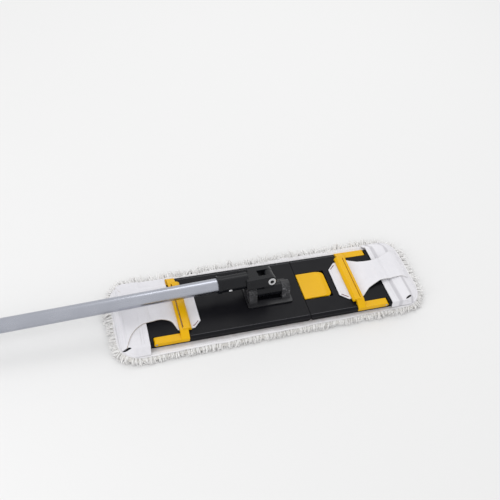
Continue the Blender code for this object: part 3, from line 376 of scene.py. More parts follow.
def metal(name, base, dull, gloss, stretch=(1, 1, 1), fine=900.0, **constants):
    """Metal whose fine lines follow the direction in which the noise is stretched."""
    material, tree, shader, place = start_material(name, Metallic=1.0, **constants)
    drawn = noise(tree, stretched(tree, place, stretch), fine, 2.0, 0.5)
    used = use(tree, HANDLING, Vector=place, Size=25.0)
    edged = use(tree, EDGES, Radius=0.0003, Vector=place)
    tone = maths(tree, "MULTIPLY", maths(tree, "ADD", drawn, used["Cloud"]), 0.5)
    feed(tree, shader, Base_Color=mix(tree, tone, (*dull, 1), (*base, 1)),
         Roughness=spread(tree, tone, 0.2, 0.8, gloss[1], gloss[0]),
         Normal=bump(tree, drawn, 0.000004, edged["Normal"]))
    return material


tube_metal = metal("tube_aluminium", (0.46, 0.475, 0.53), (0.37, 0.385, 0.435), (0.22, 0.34),
                   (0.02, 1, 1), 1400.0)
bright_steel = metal("bright_steel", (0.62, 0.62, 0.63), (0.45, 0.45, 0.46), (0.14, 0.30))
plain_steel = metal("plain_steel", (0.55, 0.55, 0.57), (0.38, 0.38, 0.40), (0.25, 0.45))


def ribbed_rubber():
    material, tree, shader, place = start_material("ribbed_rubber", Specular_IOR_Level=0.35)
    grained = use(tree, GRAIN, Vector=place, Size=0.5)
    axes = axes_of(tree, place)
    rings = maths(tree, "SINE", maths(tree, "MULTIPLY", axes["X"], 2 * math.pi / 0.0028))
    height = weigh(tree, rings, 0.9, grained["Height"], 0.3)
    used = use(tree, HANDLING, Vector=place, Size=60.0)
    colour = mix(tree, used["Cloud"], (0.014, 0.014, 0.015, 1), (0.030, 0.030, 0.032, 1))
    feed(tree, shader, Base_Color=colour, Roughness=spread(tree, used["Cloud"], 0, 1, 0.62, 0.78),
         Normal=bump(tree, height, 0.0003))
    return material


rubber = ribbed_rubber()
print("metals:", tube_metal.name, bright_steel.name, plain_steel.name)

# %% [markdown]
# ## Handing out the finishes
# Each carried-over part keeps its shape and gets a finish in place of its plain colour.

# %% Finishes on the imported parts
FINISHES = {
    deck_plastic: ["deck_left", "deck_right"],
    swivel_plastic: ["knuckle", "socket_fork"],
    bracket_plastic: ["joint_bracket"],
    yellow_plastic: ["clamp_left", "clamp_right", "release_pedal", "grip_cap"],
    tube_metal: ["pole_tube"],
    bright_steel: ["pivot_rivet", "snap_button"],
    plain_steel: ["lower_axle", "pedal_pin", "pedal_spring", "snap_spring", "fold_pin_front", "fold_pin_back",
                  *[f"clamp_pin_{i}" for i in range(1, 5)], *[f"bracket_screw_{i}" for i in range(1, 5)]],
    rubber: ["grip"],
}
for material, names in FINISHES.items():
    for name in names:
        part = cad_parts[name]
        part.data.materials.clear()
        part.data.materials.append(material)
print("parts with a finish:", sum(len(names) for names in FINISHES.values()))

# %% [markdown]
# ## Cloth, thread and yarn
# The mop's cover is a close white weave with a faint lilac cast, and the fringe is unbleached
# cotton yarn. Yarn shows its twist as slanting stripes, which come from the strand's own UV
# map: U runs along the strand and V round it.

# %% Soft finishes


def painted_holder_shade(tree, place, tone):
    """Paints shade on the cover beside the holder, standing in for the holder's shadow on it: a mask by the
    distance from its long sides.
    """
    axes = axes_of(tree, place)
    x, y = (maths(tree, "ABSOLUTE", axes[axis]) for axis in "XY")
    gone = maths(tree, "ADD", maths(tree, "SUBTRACT", y, deck_high[1]),
                 maths(tree, "MULTIPLY", noise(tree, place, 120.0), 0.006))
    # painted shade: the cover turns warm grey-brown close to the holder's long sides, fading out about 11 mm
    # from them and towards the pockets
    painted_shade = maths(tree, "MULTIPLY", spread(tree, gone, 0.001, 0.011, 0.78, 0.0),
                 spread(tree, x, 0.232, 0.215))
    return mix(tree, painted_shade, tone, (0.27, 0.24, 0.225, 1))


def painted_seam_shade(tree, place, tone, painted_seam_bands):
    """Paints shade into the cloth along the pressed seams: grey bands between two places along the mop,
    standing in for the shade in the seam furrows.
    """
    axes = axes_of(tree, place)
    along = maths(tree, "ADD", axes["X"], maths(tree, "MULTIPLY", axes["Y"], 0.05))
    for low, high in painted_seam_bands:
        off = maths(tree, "ABSOLUTE", maths(tree, "SUBTRACT", along, (low + high) / 2))
        half = (high - low) / 2
        strength = spread(tree, off, half - 0.0013, half + 0.0013, 0.50, 0.0)
        # painted shade: the cloth darkened towards grey in each seam's furrow
        tone = mix(tree, strength, tone, (0.40, 0.39, 0.42, 1))
    return tone


def woven(name, base, shade, pitch=0.0013, relief=0.00012, margin=False, painted_seam_bands=()):
    material, tree, shader, place = start_material(name, Roughness=0.92, Sheen_Weight=0.25,
                                                   Sheen_Roughness=0.5, Specular_IOR_Level=0.2)
    threads = use(tree, WEAVE, Vector=place, Pitch=pitch)
    used = use(tree, HANDLING, Vector=place, Size=22.0)
    slubs = noise(tree, stretched(tree, place, (0.15, 1, 1)), 900.0)
    tone = weigh(tree, used["Cloud"], 0.55, threads["Gap"], 0.45, clamp=True)
    height = maths(tree, "ADD", threads["Height"], maths(tree, "MULTIPLY", slubs, 0.5))
    colour = mix(tree, tone, (*base, 1), (*shade, 1))
    # margin adds the painted shade beside the holder's long sides
    if margin:
        colour = painted_holder_shade(tree, place, colour)
    colour = painted_seam_shade(tree, place, colour, painted_seam_bands)
    feed(tree, shader, Base_Color=colour, Normal=bump(tree, height, relief, strength=0.7))
    return material


def yarn(name, base, shade, twists=26.0, relief=0.00025):
    """Spun yarn; shade lies in the grooves of its twist and in broad patches."""
    material, tree, shader, place = start_material(name, Roughness=0.95, Sheen_Weight=0.3,
                                                   Sheen_Roughness=0.6, Specular_IOR_Level=0.15)
    turns = axes_of(tree, node(tree, "ShaderNodeUVMap", uv_map="strand").outputs[0])
    slant = maths(tree, "ADD", maths(tree, "MULTIPLY", turns["X"], twists), turns["Y"])
    groove = maths(tree, "PINGPONG", slant, 0.5)
    used = use(tree, HANDLING, Vector=place, Size=38.0)
    tone = weigh(tree, groove, 0.5, used["Cloud"], 0.6, clamp=True)
    feed(tree, shader, Base_Color=mix(tree, tone, (*base, 1), (*shade, 1)),
         Normal=bump(tree, groove, relief))
    return material


def pile_yarn():
    material, tree, shader, place = start_material("pile_yarn", Roughness=0.95, Sheen_Weight=0.3,
                                                   Specular_IOR_Level=0.15)
    used = use(tree, HANDLING, Vector=place, Size=38.0)
    tufts = node(tree, "ShaderNodeTexVoronoi", {"Vector": place, "Scale": 420.0},
                 feature="SMOOTH_F1").outputs["Distance"]
    tone = weigh(tree, tufts, 0.6, used["Cloud"], 0.4, clamp=True)
    feed(tree, shader, Base_Color=mix(tree, tone, (0.80, 0.79, 0.77, 1), (0.52, 0.50, 0.47, 1)),
         Normal=bump(tree, tufts, 0.0008))
    return material


cover_cloth = woven("cover_cloth", (0.80, 0.79, 0.825), (0.67, 0.665, 0.70))
# The right pocket's cloth, with painted shade along its two seam furrows.
painted_seam_shade_cloth = woven("painted_seam_shade_cloth", (0.80, 0.79, 0.825), (0.67, 0.665, 0.70),
                    painted_seam_bands=((0.2238, 0.2306), (0.2502, 0.2556)))
# The margin cloth carries painted shade where the holder's shadow falls on the cover.
margin_cloth = woven("margin_cloth", (0.84, 0.83, 0.85), (0.72, 0.71, 0.73), margin=True)
fringe_yarn = yarn("fringe_yarn", (0.95, 0.945, 0.94), (0.78, 0.765, 0.755))
hem_thread = yarn("hem_thread", (0.70, 0.69, 0.69), (0.54, 0.53, 0.53), 6.0, 0.0001)
mark_thread = yarn("mark_thread", (0.17, 0.010, 0.016), (0.08, 0.005, 0.008), 6.0, 0.0001)
edge_thread = yarn("edge_thread", (0.52, 0.46, 0.40), (0.33, 0.28, 0.24), 60.0, 0.0001)
under_yarn = pile_yarn()
print("soft finishes ready")

# %% [markdown]
# ## Meshes from arrays
# A grid of points becomes faces by index arithmetic alone. `sheet_piece` makes an open sheet
# and lets Solidify give it a thickness below; `strand_piece` carries a circle along many
# centre lines at once, which makes fringe, stitches and piping.

# %% Mesh helpers


def grid_faces(rows, columns, wrap=False):
    """Quads between neighbouring rows and columns, numbered row by row."""
    row = np.arange(rows - 1)[:, None] * columns
    column = np.arange(columns if wrap else columns - 1)[None, :]
    after = (column + 1) % columns
    corners = [row + column, row + after, row + columns + after, row + columns + column]
    return np.stack(corners, -1).reshape(-1, 4)


def make_object(name, points, face_sets, material, uv=None):
    """Points, and face arrays of equal corner count each, as one smooth mesh object."""
    mesh = bpy.data.meshes.new(name)
    points = np.asarray(points, float).reshape(-1, 3)
    corners = np.concatenate([faces.ravel() for faces in face_sets])
    sizes = np.concatenate([np.full(len(faces), faces.shape[1]) for faces in face_sets])
    mesh.vertices.add(len(points))
    mesh.vertices.foreach_set("co", points.ravel())
    mesh.loops.add(len(corners))
    mesh.loops.foreach_set("vertex_index", corners)
    mesh.polygons.add(len(sizes))
    mesh.polygons.foreach_set("loop_start", np.concatenate([[0], np.cumsum(sizes)[:-1]]))
    mesh.update(calc_edges=True)
    mesh.polygons.foreach_set("use_smooth", np.ones(len(sizes), bool))
    if uv is not None:
        layer = mesh.uv_layers.new(name="strand")
        layer.data.foreach_set("uv", np.asarray(uv, float).reshape(-1, 2)[corners].ravel())
    mesh.materials.append(material)
    mesh.validate()
    obj = bpy.data.objects.new(name, mesh)
    bpy.context.scene.collection.objects.link(obj)
    return obj


def sheet_piece(name, grid, material, thickness):
    """An upward-facing sheet from a (rows, columns, 3) grid, made solid downwards."""
    rows, columns = grid.shape[:2]
    faces = grid_faces(rows, columns)
    points = grid.reshape(-1, 3)
    a, b, c = (points[faces[:, i]] for i in range(3))
    if np.cross(b - a, c - a)[:, 2].sum() < 0:
        faces = faces[:, ::-1]
    obj = make_object(name, points, [faces], material)
    solidify = obj.modifiers.new("thickness", "SOLIDIFY")
    solidify.thickness = thickness
    solidify.offset = -1
    return obj


def strand_piece(name, lines, radii, sides, material):
    """Round strands along (count, steps, 3) centre lines.

    At each step the circle's two axes are the cross products of the line's direction with
    the vertical and with the first axis. Both ends close on a point."""
    count, steps = lines.shape[:2]
    along = np.gradient(lines, axis=1)
    along /= np.linalg.norm(along, axis=2, keepdims=True) + 1e-12
    steep = np.abs(along[..., 2:3]) > 0.9
    upward = np.where(steep, np.array([[[1.0, 0, 0]]]), np.array([[[0, 0, 1.0]]]))
    aside = np.cross(along, upward)
    aside /= np.linalg.norm(aside, axis=2, keepdims=True) + 1e-12
    across = np.cross(aside, along)
    angle = np.arange(sides) * 2 * np.pi / sides
    radii = np.broadcast_to(radii, (count, steps))[..., None, None]
    ring = (np.cos(angle)[:, None] * aside[:, :, None, :]
            + np.sin(angle)[:, None] * across[:, :, None, :])
    body = (lines[:, :, None, :] + radii * ring).reshape(count, -1, 3)
    points = np.concatenate([body, lines[:, :1], lines[:, -1:]], axis=1)
    size = points.shape[1]
    quads = grid_faces(steps, sides, wrap=True)
    first = np.arange(sides)
    start_fan = np.stack([first, np.full(sides, steps * sides), (first + 1) % sides], -1)
    last = first + (steps - 1) * sides
    end_fan = np.stack([last, (first + 1) % sides + (steps - 1) * sides,
                        np.full(sides, steps * sides + 1)], -1)
    shift = (np.arange(count) * size)[:, None, None]
    u = np.repeat(np.linspace(0, 1, steps), sides)
    v = np.tile(np.arange(sides) / sides, steps)
    uv = np.concatenate([np.stack([u, v], -1), [[0, 0], [1, 0]]])
    return make_object(name, points, [(quads + shift).reshape(-1, 4),
                                      (np.concatenate([start_fan, end_fan]) + shift).reshape(-1, 3)],
                       material, np.tile(uv, (count, 1)))


def smooth_step(value, low=0.0, high=1.0):
    """Zero below low, one above high, and an S-curve between."""
    t = np.clip((np.asarray(value, float) - low) / (high - low), 0, 1)
    return t * t * (3 - 2 * t)


print("mesh helpers ready")

# %% [markdown]
# ## The woven cover
# The cover carries the pile below and the pockets above. It is a rounded rectangle, so its
# natural grid is a set of rings: the same outline, moved in step by step. The outer rings hold
# the folded hem, which sags a little beyond the holder and waves as sewn edges do.

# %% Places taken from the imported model
HALF_LENGTH, HALF_WIDTH, DECK_TOP = -deck_low[0], deck_high[1], deck_high[2]
COVER_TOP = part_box("mop_backing_left")[1][2]
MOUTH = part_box("pocket_right")[0][0]
TAB_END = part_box("tab_right")[0][0]
TAB_TOP = DECK_TOP + 1.8 * MM
FOLD_PIN_RADIUS = 1.5 * MM
FOLD_X, _, FOLD_Z = (v + FOLD_PIN_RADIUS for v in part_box("fold_pin_front")[0])
RELIEF = math.tan(math.radians(40))


def bend_at_fold(piece):
    """Bake a piece's placement into its mesh; nothing here makes it bend at the fold."""
    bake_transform(piece)


print("deck top", round(DECK_TOP, 4), "cover top", round(COVER_TOP, 4), "fold at", round(FOLD_X, 4))

# %% Cover


def rounded_ring(half_x, half_y, radius, side=150, end=30, corner=16):
    """Points round a rounded rectangle and their outward directions.

    It runs anticlockwise from the front of the right end; straight stretches are evenly
    spaced, and a corner is a quarter of a circle about (half - radius)."""
    x, y = half_x - radius, half_y - radius
    points, outward = [], []
    ends = [((half_x, -y), (half_x, y), end), ((x, half_y), (-x, half_y), side),
            ((-half_x, y), (-half_x, -y), end), ((-x, -half_y), (x, -half_y), side)]
    centres = [(x, y), (-x, y), (-x, -y), (x, -y)]
    for number, ((start, stop, steps), centre) in enumerate(zip(ends, centres)):
        share = np.linspace(0, 1, steps, endpoint=False)[:, None]
        facing = np.array([math.cos(number * math.pi / 2), math.sin(number * math.pi / 2)])
        points.append(np.array(start) * (1 - share) + np.array(stop) * share)
        outward.append(np.tile(facing, (steps, 1)))
        angle = (number + np.linspace(0, 1, corner, endpoint=False)) * np.pi / 2
        direction = np.stack([np.cos(angle), np.sin(angle)], -1)
        points.append(np.array(centre) + radius * direction)
        outward.append(direction)
    return np.concatenate(points), np.concatenate(outward)


def travelled(points):
    """Distance along a closed run of points, starting from zero."""
    steps = np.linalg.norm(np.diff(points, axis=0), axis=1)
    return np.concatenate([[0], np.cumsum(steps)])


COVER_X, COVER_Y, COVER_CORNER = 0.2715, 0.0745, 0.036


def settle(points):
    """The mop as it was slipped on: a little to the right and the back, and turned by a degree.

    x gains a constant, y gains a constant and a fiftieth of x, which is a turn by shear."""
    moved = np.array(points, float)
    moved[..., 1] += 3.0 * MM + 0.018 * moved[..., 0]
    moved[..., 0] += 8.0 * MM
    return moved


HEM = 7.5 * MM
INSETS = np.array([0, 0.4, 1.2, 2.5, 4, 5.5, 6.8, 7.5, 8.2, 9.5, 12, 15, 19, 24, 34, 50, 74.4]) * MM


def cover_height(inset, along):
    """Top of the cover at a distance in from its edge and a distance along it.

    A flat top, less a sag towards the edge, plus the hem's extra layer, plus slow waves that
    fade under the holder, with a quarter-round at the very edge."""
    free = 1 - smooth_step(inset, 0, 17 * MM)
    waves = np.sin(along * 46) + 0.7 * np.sin(along * 97 + 1.3) + 0.4 * np.sin(along * 181 + 0.4)
    hem = 0.5 * MM * (1 - smooth_step(inset, HEM - 0.7 * MM, HEM + 0.7 * MM))
    rim = 1.2 * MM * (1 - np.sqrt(1 - (1 - np.clip(inset / (1.2 * MM), 0, 1)) ** 2))
    return COVER_TOP - 1.9 * MM * free + hem + 0.45 * MM * waves * free - rim


def cover_ring(inset):
    points, outward = rounded_ring(COVER_X - inset, COVER_Y - inset,
                                   max(COVER_CORNER - inset, 0.02 * MM))
    along = travelled(rounded_ring(COVER_X, COVER_Y, COVER_CORNER)[0])
    ripple = (0.5 * MM * (np.sin(along * 61 + 0.8) + 0.6 * np.sin(along * 143))
              * (1 - smooth_step(inset, 0, 20 * MM)))
    flat = points + outward * ripple[:, None]
    return np.column_stack([flat, cover_height(inset, along)])


def build_cover():
    grid = settle(np.stack([cover_ring(inset) for inset in INSETS]))
    grid = np.concatenate([grid, grid[:, :1]], axis=1)
    obj = sheet_piece("mop_cover", grid, margin_cloth, 2.4 * MM)
    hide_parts("mop_backing_left", "mop_backing_right")
    return obj


cover = build_cover()
print("cover:", len(cover.data.polygons), "faces")

# %% [markdown]
# ## Pile
# Under the cover sits a dense bed of yarn. Its underside is a field of rounded tufts in
# staggered rows; the bed is lofted from closed sections along the mop. It is cut in two by the
# wedge that the fold needs, and a third piece fills the wedge.

# %% Pile
PILE_X, PILE_Y, PILE_CORNER, PILE_TOP = 0.275, 0.0770, 0.038, 11.6 * MM


def half_width_at(x, half_x, half_y, radius):
    """Half the width of a rounded rectangle at x: the straight side, less the corner's curve."""
    into = np.clip(np.abs(x) - (half_x - radius), 0, radius)
    return half_y - radius + np.sqrt(np.clip(radius ** 2 - into ** 2, 0, None))


def pile_sections(x, across=73):
    """Closed sections of the bed at each x: a tufted underside, then a flat top with round sides."""
    half = half_width_at(x, PILE_X, PILE_Y, PILE_CORNER)[:, None]
    share = np.linspace(-1, 1, across)[None, :]
    y = half * share
    row = x[:, None] / (6.5 * MM)
    tufts = np.abs(np.cos(np.pi * row) * np.cos(np.pi * (y / (6.5 * MM) + 0.5 * np.floor(row))))
    side = 1 - smooth_step(1 - np.abs(share), 0, 0.05)
    near_end = 1 - smooth_step(PILE_X - np.abs(x), 0, 5 * MM)[:, None]
    lift = 3.2 * MM * np.maximum(side, near_end) ** 2
    low = 1.5 * MM + 1.6 * MM * (1 - tufts ** 0.6) + lift
    high = PILE_TOP - lift * 0.8
    y_top = y[:, ::-1]
    lower = np.stack([np.broadcast_to(x[:, None], y.shape), y, low], -1)
    upper = np.stack([np.broadcast_to(x[:, None], y.shape), y_top, high[:, ::-1]], -1)
    return np.concatenate([lower, upper[:, ::3]], axis=1)


def pile_piece(name, sections, node_names):
    rows, columns = sections.shape[:2]
    quads = grid_faces(rows, columns, wrap=True)
    points = sections.reshape(-1, 3)
    centres = np.stack([sections[0].mean(0), sections[-1].mean(0)])
    loop = np.arange(columns)
    start = np.stack([loop, (loop + 1) % columns, np.full(columns, len(points))], -1)
    stop = np.stack([(loop + 1) % columns, loop, np.full(columns, len(points) + 1)], -1)
    stop[:, :2] += (rows - 1) * columns
    points = np.concatenate([points, centres])
    a, b, c = (points[quads[:, i]] for i in range(3))
    outward = ((a - points.mean(0)) * np.cross(b - a, c - a)).sum()
    faces = [quads, np.concatenate([stop, start])]
    if outward < 0:
        faces = [array[:, ::-1] for array in (quads, np.concatenate([start[:, ::-1], stop[:, ::-1]]))]
    obj = make_object(name, points, faces, under_yarn)
    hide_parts(*node_names)
    return obj


def build_pile():
    """Two halves whose inner ends lean away from the fold, and the strip between them."""
    made = []
    for side, label in ((-1, "left"), (1, "right")):
        x = np.linspace(side * PILE_X, FOLD_X + side * 0.3 * MM - 8 * MM, 210 if side < 0 else 150)
        sections = settle(pile_sections(x))
        x = sections[:, 0, 0]
        near = 1 - smooth_step(side * (x - FOLD_X), 0, 32 * MM)[:, None]
        sections[..., 0] += side * (FOLD_Z - sections[..., 2]) * RELIEF * near
        made.append(pile_piece(f"mop_pile_bed_{label}", sections, [f"mop_pile_{label}"]))
    share = np.linspace(-1, 1, 17)
    sections = settle(pile_sections(FOLD_X - 8 * MM + share * 16 * MM))
    sections[..., 0] = FOLD_X + share[:, None] * ((FOLD_Z - sections[..., 2]) * RELIEF + 0.1 * MM)
    made.append(pile_piece("mop_pile_bed_fold", sections, ["mop_fold_strip"]))
    return made


pile_left, pile_right, pile_fold = build_pile()
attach(pile_left, "holder")
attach(pile_right, "folding_wing")
bend_at_fold(pile_fold)
print("pile faces:", [len(piece.data.polygons) for piece in (pile_left, pile_right, pile_fold)])

# %% [markdown]
# ## Fringe
# Around the cover stands a border of cut cotton strands. They leave it in four storeys, lean in
# slow clumps, wriggle a little, and droop until they meet the floor. The strands at the back
# and at the two ends are longer and stand out; those at the front hang short and close. The
# underside is covered with loops of the same yarn, pressed flat by the mop's weight.

# %% Fringe
ROOT_X, ROOT_Y, ROOT_CORNER = 0.2675, 0.0705, 0.032
STOREYS = np.array([12.8, 9.8, 6.8, 3.8]) * MM
TUFTS = 262
PER_TUFT = 12
STEPS = 7
STRAND_RADII = np.array([0.85, 0.95, 0.98, 0.96, 0.90, 0.80, 0.45]) * MM
LOOP_PITCH, LOOP_RADII = 5.2 * MM, np.array([0.8, 1.0, 1.05, 1.0, 0.8]) * MM


def fringe_lines():
    """Centre lines (count, steps, 3) of every strand, and each one's root x.

    Strands grow in tufts. Each starts on the root outline near its tuft's middle and runs
    along the outward direction turned by the tuft's lean and a little of its own; sideways it
    closes up on the tuft by 60 per cent at the tip. It rises by an elevation and sinks with
    the square of the share along it. Heights stop a strand's radius above the floor."""
    outline, outward = rounded_ring(ROOT_X, ROOT_Y, ROOT_CORNER, 500, 100, 60)
    outline, outward = np.vstack([outline, outline[:1]]), np.vstack([outward, outward[:1]])
    along = travelled(outline)
    count = TUFTS * PER_TUFT
    tuft = np.repeat(np.arange(TUFTS), PER_TUFT)
    middle = (tuft + chance.uniform(-0.25, 0.25, TUFTS)[tuft]) / TUFTS * along[-1]
    beside = chance.normal(0, 1.9 * MM, count)
    place = (middle + beside) % along[-1]
    root = np.stack([np.interp(place, along, outline[:, i]) for i in range(2)], -1)
    out = np.stack([np.interp(place, along, outward[:, i]) for i in range(2)], -1)
    out /= np.linalg.norm(out, axis=1, keepdims=True)
    storey = np.tile(np.arange(PER_TUFT) % len(STOREYS), TUFTS)
    back, front = np.clip(out[:, 1], 0, 1) ** 2, np.clip(-out[:, 1], 0, 1) ** 2
    right, left = np.clip(out[:, 0], 0, 1) ** 2, np.clip(-out[:, 0], 0, 1) ** 2
    length = (12.5 * front + 21 * back + 20 * right + 17.5 * left) * MM
    length *= chance.uniform(0.72, 1.06, TUFTS)[tuft] * chance.uniform(0.62, 1.05, count)
    tuft_lift = chance.normal(0, 6, TUFTS)[tuft]
    lift = np.radians(-12 * front + 16 * back + 5 * right + 4 * left - 5.0 * storey + tuft_lift
                      + chance.normal(0, 6, count))
    lean = np.radians(6 * np.sin(middle * 75) + 4 * np.sin(middle * 171 + 1)
                      + chance.normal(0, 10, TUFTS)[tuft] + chance.normal(0, 8, count))
    turned = np.stack([out[:, 0] * np.cos(lean) - out[:, 1] * np.sin(lean),
                       out[:, 0] * np.sin(lean) + out[:, 1] * np.cos(lean)], -1)
    aside = np.stack([-turned[:, 1], turned[:, 0]], -1)
    share = np.linspace(0, 1, STEPS)[None, :]
    run = length[:, None] * share
    wriggle = chance.uniform(0.1, 1.0, count)[:, None] * MM * share * np.sin(
        share * chance.uniform(3, 8, count)[:, None] + chance.uniform(0, 6.3, count)[:, None])
    hook = (chance.normal(0, 2.2, TUFTS)[tuft] + chance.normal(0, 0.9, count))[:, None] * MM * share ** 3
    closing = -0.6 * beside[:, None] * share ** 1.5
    flat = (root[:, None, :] + turned[:, None, :] * (run * np.cos(lift)[:, None])[..., None]
            + aside[:, None, :] * (wriggle + hook + closing)[..., None])
    droop = (2.0 + 2.5 * front + chance.uniform(0.0, 3.5, count))[:, None] * MM * share ** 2
    height = STOREYS[storey][:, None] + run * np.sin(lift)[:, None] - droop
    height = np.maximum(height, chance.uniform(1.0, 2.4, count)[:, None] * MM)
    lines = settle(np.concatenate([flat, height[..., None]], -1))
    return lines, lines[:, 0, 0]


def yarn_in_three(name, lines, middle, radii, near):
    """Strands left of the fold, right of it, and within a distance of it."""
    bend = np.abs(middle - FOLD_X) < near
    pieces = []
    for label, body, chosen in (("left", "holder", (middle < FOLD_X) & ~bend),
                                ("right", "folding_wing", (middle > FOLD_X) & ~bend), ("fold", None, bend)):
        piece = strand_piece(f"{name}_{label}", lines[chosen], radii[chosen], 5, fringe_yarn)
        if body:
            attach(piece, body)
        else:
            bend_at_fold(piece)
        pieces.append(piece)
    return pieces


def build_fringe():
    lines, root_x = fringe_lines()
    radii = STRAND_RADII[None, :] * chance.uniform(0.85, 1.12, len(lines))[:, None]
    return yarn_in_three("fringe", lines, root_x, radii, 28 * MM)


def loop_lines():
    """Centre lines of the loops under the bed, and each one's middle in x.

    A loop's middle is a point of a jittered grid and its direction is drawn at random. Along
    it, height is lowest in the middle and rises with the square of the distance from it."""
    pitch = LOOP_PITCH
    x, y = np.meshgrid(np.arange(-PILE_X + pitch, PILE_X - pitch / 2, pitch),
                       np.arange(-PILE_Y + pitch * 0.7, PILE_Y - pitch * 0.6, pitch), indexing="ij")
    x = x.ravel() + chance.uniform(-1.6, 1.6, x.size) * MM
    y = y.ravel() + chance.uniform(-1.6, 1.6, x.size) * MM
    kept = np.abs(y) < half_width_at(x, PILE_X, PILE_Y, PILE_CORNER) - 3 * MM
    x, y = x[kept], y[kept]
    angle, half = chance.uniform(0, np.pi, x.size), chance.uniform(3.4, 4.6, x.size) * MM
    share = np.linspace(-1, 1, 5)[None, :]
    bow = chance.uniform(-1.4, 1.4, x.size)[:, None] * MM * (1 - share ** 2)
    across, along = bow, half[:, None] * share
    line_x = x[:, None] + along * np.cos(angle)[:, None] - across * np.sin(angle)[:, None]
    line_y = y[:, None] + along * np.sin(angle)[:, None] + across * np.cos(angle)[:, None]
    height = (1.15 + 1.9 * share ** 2) * MM + chance.uniform(0, 0.9, x.size)[:, None] * MM
    lines = settle(np.stack([line_x, line_y, height], -1))
    return lines, lines[:, 2, 0]


def build_loops():
    lines, middle = loop_lines()
    radii = LOOP_RADII[None, :] * chance.uniform(0.85, 1.0, len(lines))[:, None]
    return yarn_in_three("pile_loops", lines, middle, radii, 22 * MM)


fringe = build_fringe()
loops = build_loops()
print("fringe and loop faces:", [len(piece.data.polygons) for piece in (*fringe, *loops)])

# %% [markdown]
# ## Stitches and piping
# A row of stitches is a run of short strands that dip into the cloth at both ends. Piping and
# overlocked edges are one long strand each.

# %% Stitch and piping helpers


def resample(path, places):
    """Points at the given distances along a path."""
    along = travelled(path)
    return np.stack([np.interp(places, along, path[:, i]) for i in range(3)], -1)


def stitch_lines(path, pitch=3.4 * MM, length=2.5 * MM, lift=0.1 * MM):
    """Centre lines of stitches along a path: straight in plan, arched in height."""
    total = travelled(path)[-1]
    starts = np.arange(pitch / 2, total - length, pitch)
    share = np.array([0, 0.2, 0.5, 0.8, 1.0])
    places = (starts[:, None] + share[None, :] * length).ravel()
    lines = resample(path, places).reshape(len(starts), 5, 3)
    lines[..., 2] += lift + np.array([-0.25, 0.0, 0.08, 0.0, -0.25]) * MM
    return lines


def stitched(name, paths, material, radius=0.26 * MM, **spacing):
    lines = np.concatenate([stitch_lines(path, **spacing) for path in paths])
    radii = radius * np.array([0.5, 1.0, 1.05, 1.0, 0.5])[None, :]
    piece = strand_piece(name, lines, radii, 5, material)
    return piece


def piped(name, path, material, radius, spacing=2.0 * MM):
    count = max(int(travelled(path)[-1] / spacing), 4)
    line = resample(path, np.linspace(0, travelled(path)[-1], count))
    piece = strand_piece(name, line[None], radius, 8, material)
    return piece


def build_hem_stitches():
    """Two rows of stitches right round the cover's hem."""
    rows = [settle(cover_ring(inset)) for inset in (6.3 * MM, 3.2 * MM)]
    return stitched("hem_stitches", [np.vstack([row, row[:1]]) for row in rows], hem_thread, 0.24 * MM)


hem_stitches = build_hem_stitches()
for piece in (cover, hem_stitches):
    bend_at_fold(piece)
print("stitch faces:", len(hem_stitches.data.polygons))

# %% [markdown]
# ## Pockets
# A pocket is a cloth cap over each end of the holder. Its height is a function of the distance
# outside the holder's outline: level on top, then an S-shaped fall to the cover, where it is
# sewn on. Seams press shallow furrows and corners gather. Each front corner has a short slit
# where the black holder shows, made here as a thin dark lens lying on the cloth.

# %% Pockets
FRAME_CORNER = 12.3 * MM
FOOT_X, FOOT_Y, FOOT_CORNER = {-1: 0.2600, 1: 0.2745}, 0.0725, 0.028
BANDS = {-1: ((0.2225, 1.0, 0.35), (0.2535, 1.2, 0.5)), 1: ((0.2270, 3.0, 1.45), (0.2530, 2.0, 1.2))}


def beyond(x, y, half_x, half_y, corner):
    """Signed distance from a rounded rectangle about the origin, positive outside."""
    qx, qy = np.abs(x) - half_x + corner, np.abs(y) - half_y + corner
    outside = np.hypot(np.maximum(qx, 0), np.maximum(qy, 0))
    return outside + np.minimum(np.maximum(qx, qy), 0) - corner


def foot_shift(x):
    """How far the mop, and the pocket's foot with it, lies to the back at x."""
    return 3.0 * MM + 0.018 * x


def furrow(value, width):
    return np.exp(-(value / width) ** 2)


def pocket_height(x, y, side):
    """Level top, then an S-shaped fall from the holder's outline to the foot's.

    The share of the fall is the distance beyond the holder over that distance plus the one
    left to the foot. Pressed bands, a raised mouth hem, gathers and soft puffs are added."""
    gone = beyond(x, y, HALF_LENGTH, HALF_WIDTH, FRAME_CORNER)
    left_over = -beyond(x, y - foot_shift(x), FOOT_X[side], FOOT_Y, FOOT_CORNER)
    fall = smooth_step(gone / np.maximum(gone + left_over, 1 * MM), 0, 1)
    on_top = 1 - smooth_step(gone, -4 * MM, 2 * MM)
    bands = sum(depth * furrow(np.abs(x) + 0.05 * y - place, width * MM)
                for place, width, depth in BANDS[side])
    hem = 1 - smooth_step(np.abs(x) - MOUTH, 7 * MM, 8.2 * MM)
    angle = np.arctan2(np.abs(y) - HALF_WIDTH + 20 * MM, np.abs(x) - HALF_LENGTH + 20 * MM)
    gathers = (np.sin(angle * 17 + side) * furrow(fall - 0.5, 0.35)
               * smooth_step(np.abs(y), 30 * MM, 50 * MM))
    puff = np.sin(np.abs(x) * 190 + 2) * np.cos(y * 88 + side) * on_top
    return (TAB_TOP + 0.1 * MM - 11.5 * MM * fall - bands * MM * on_top + 0.3 * MM * hem
            + 0.4 * MM * gathers + 0.25 * MM * (puff + 1) * (1 - hem))


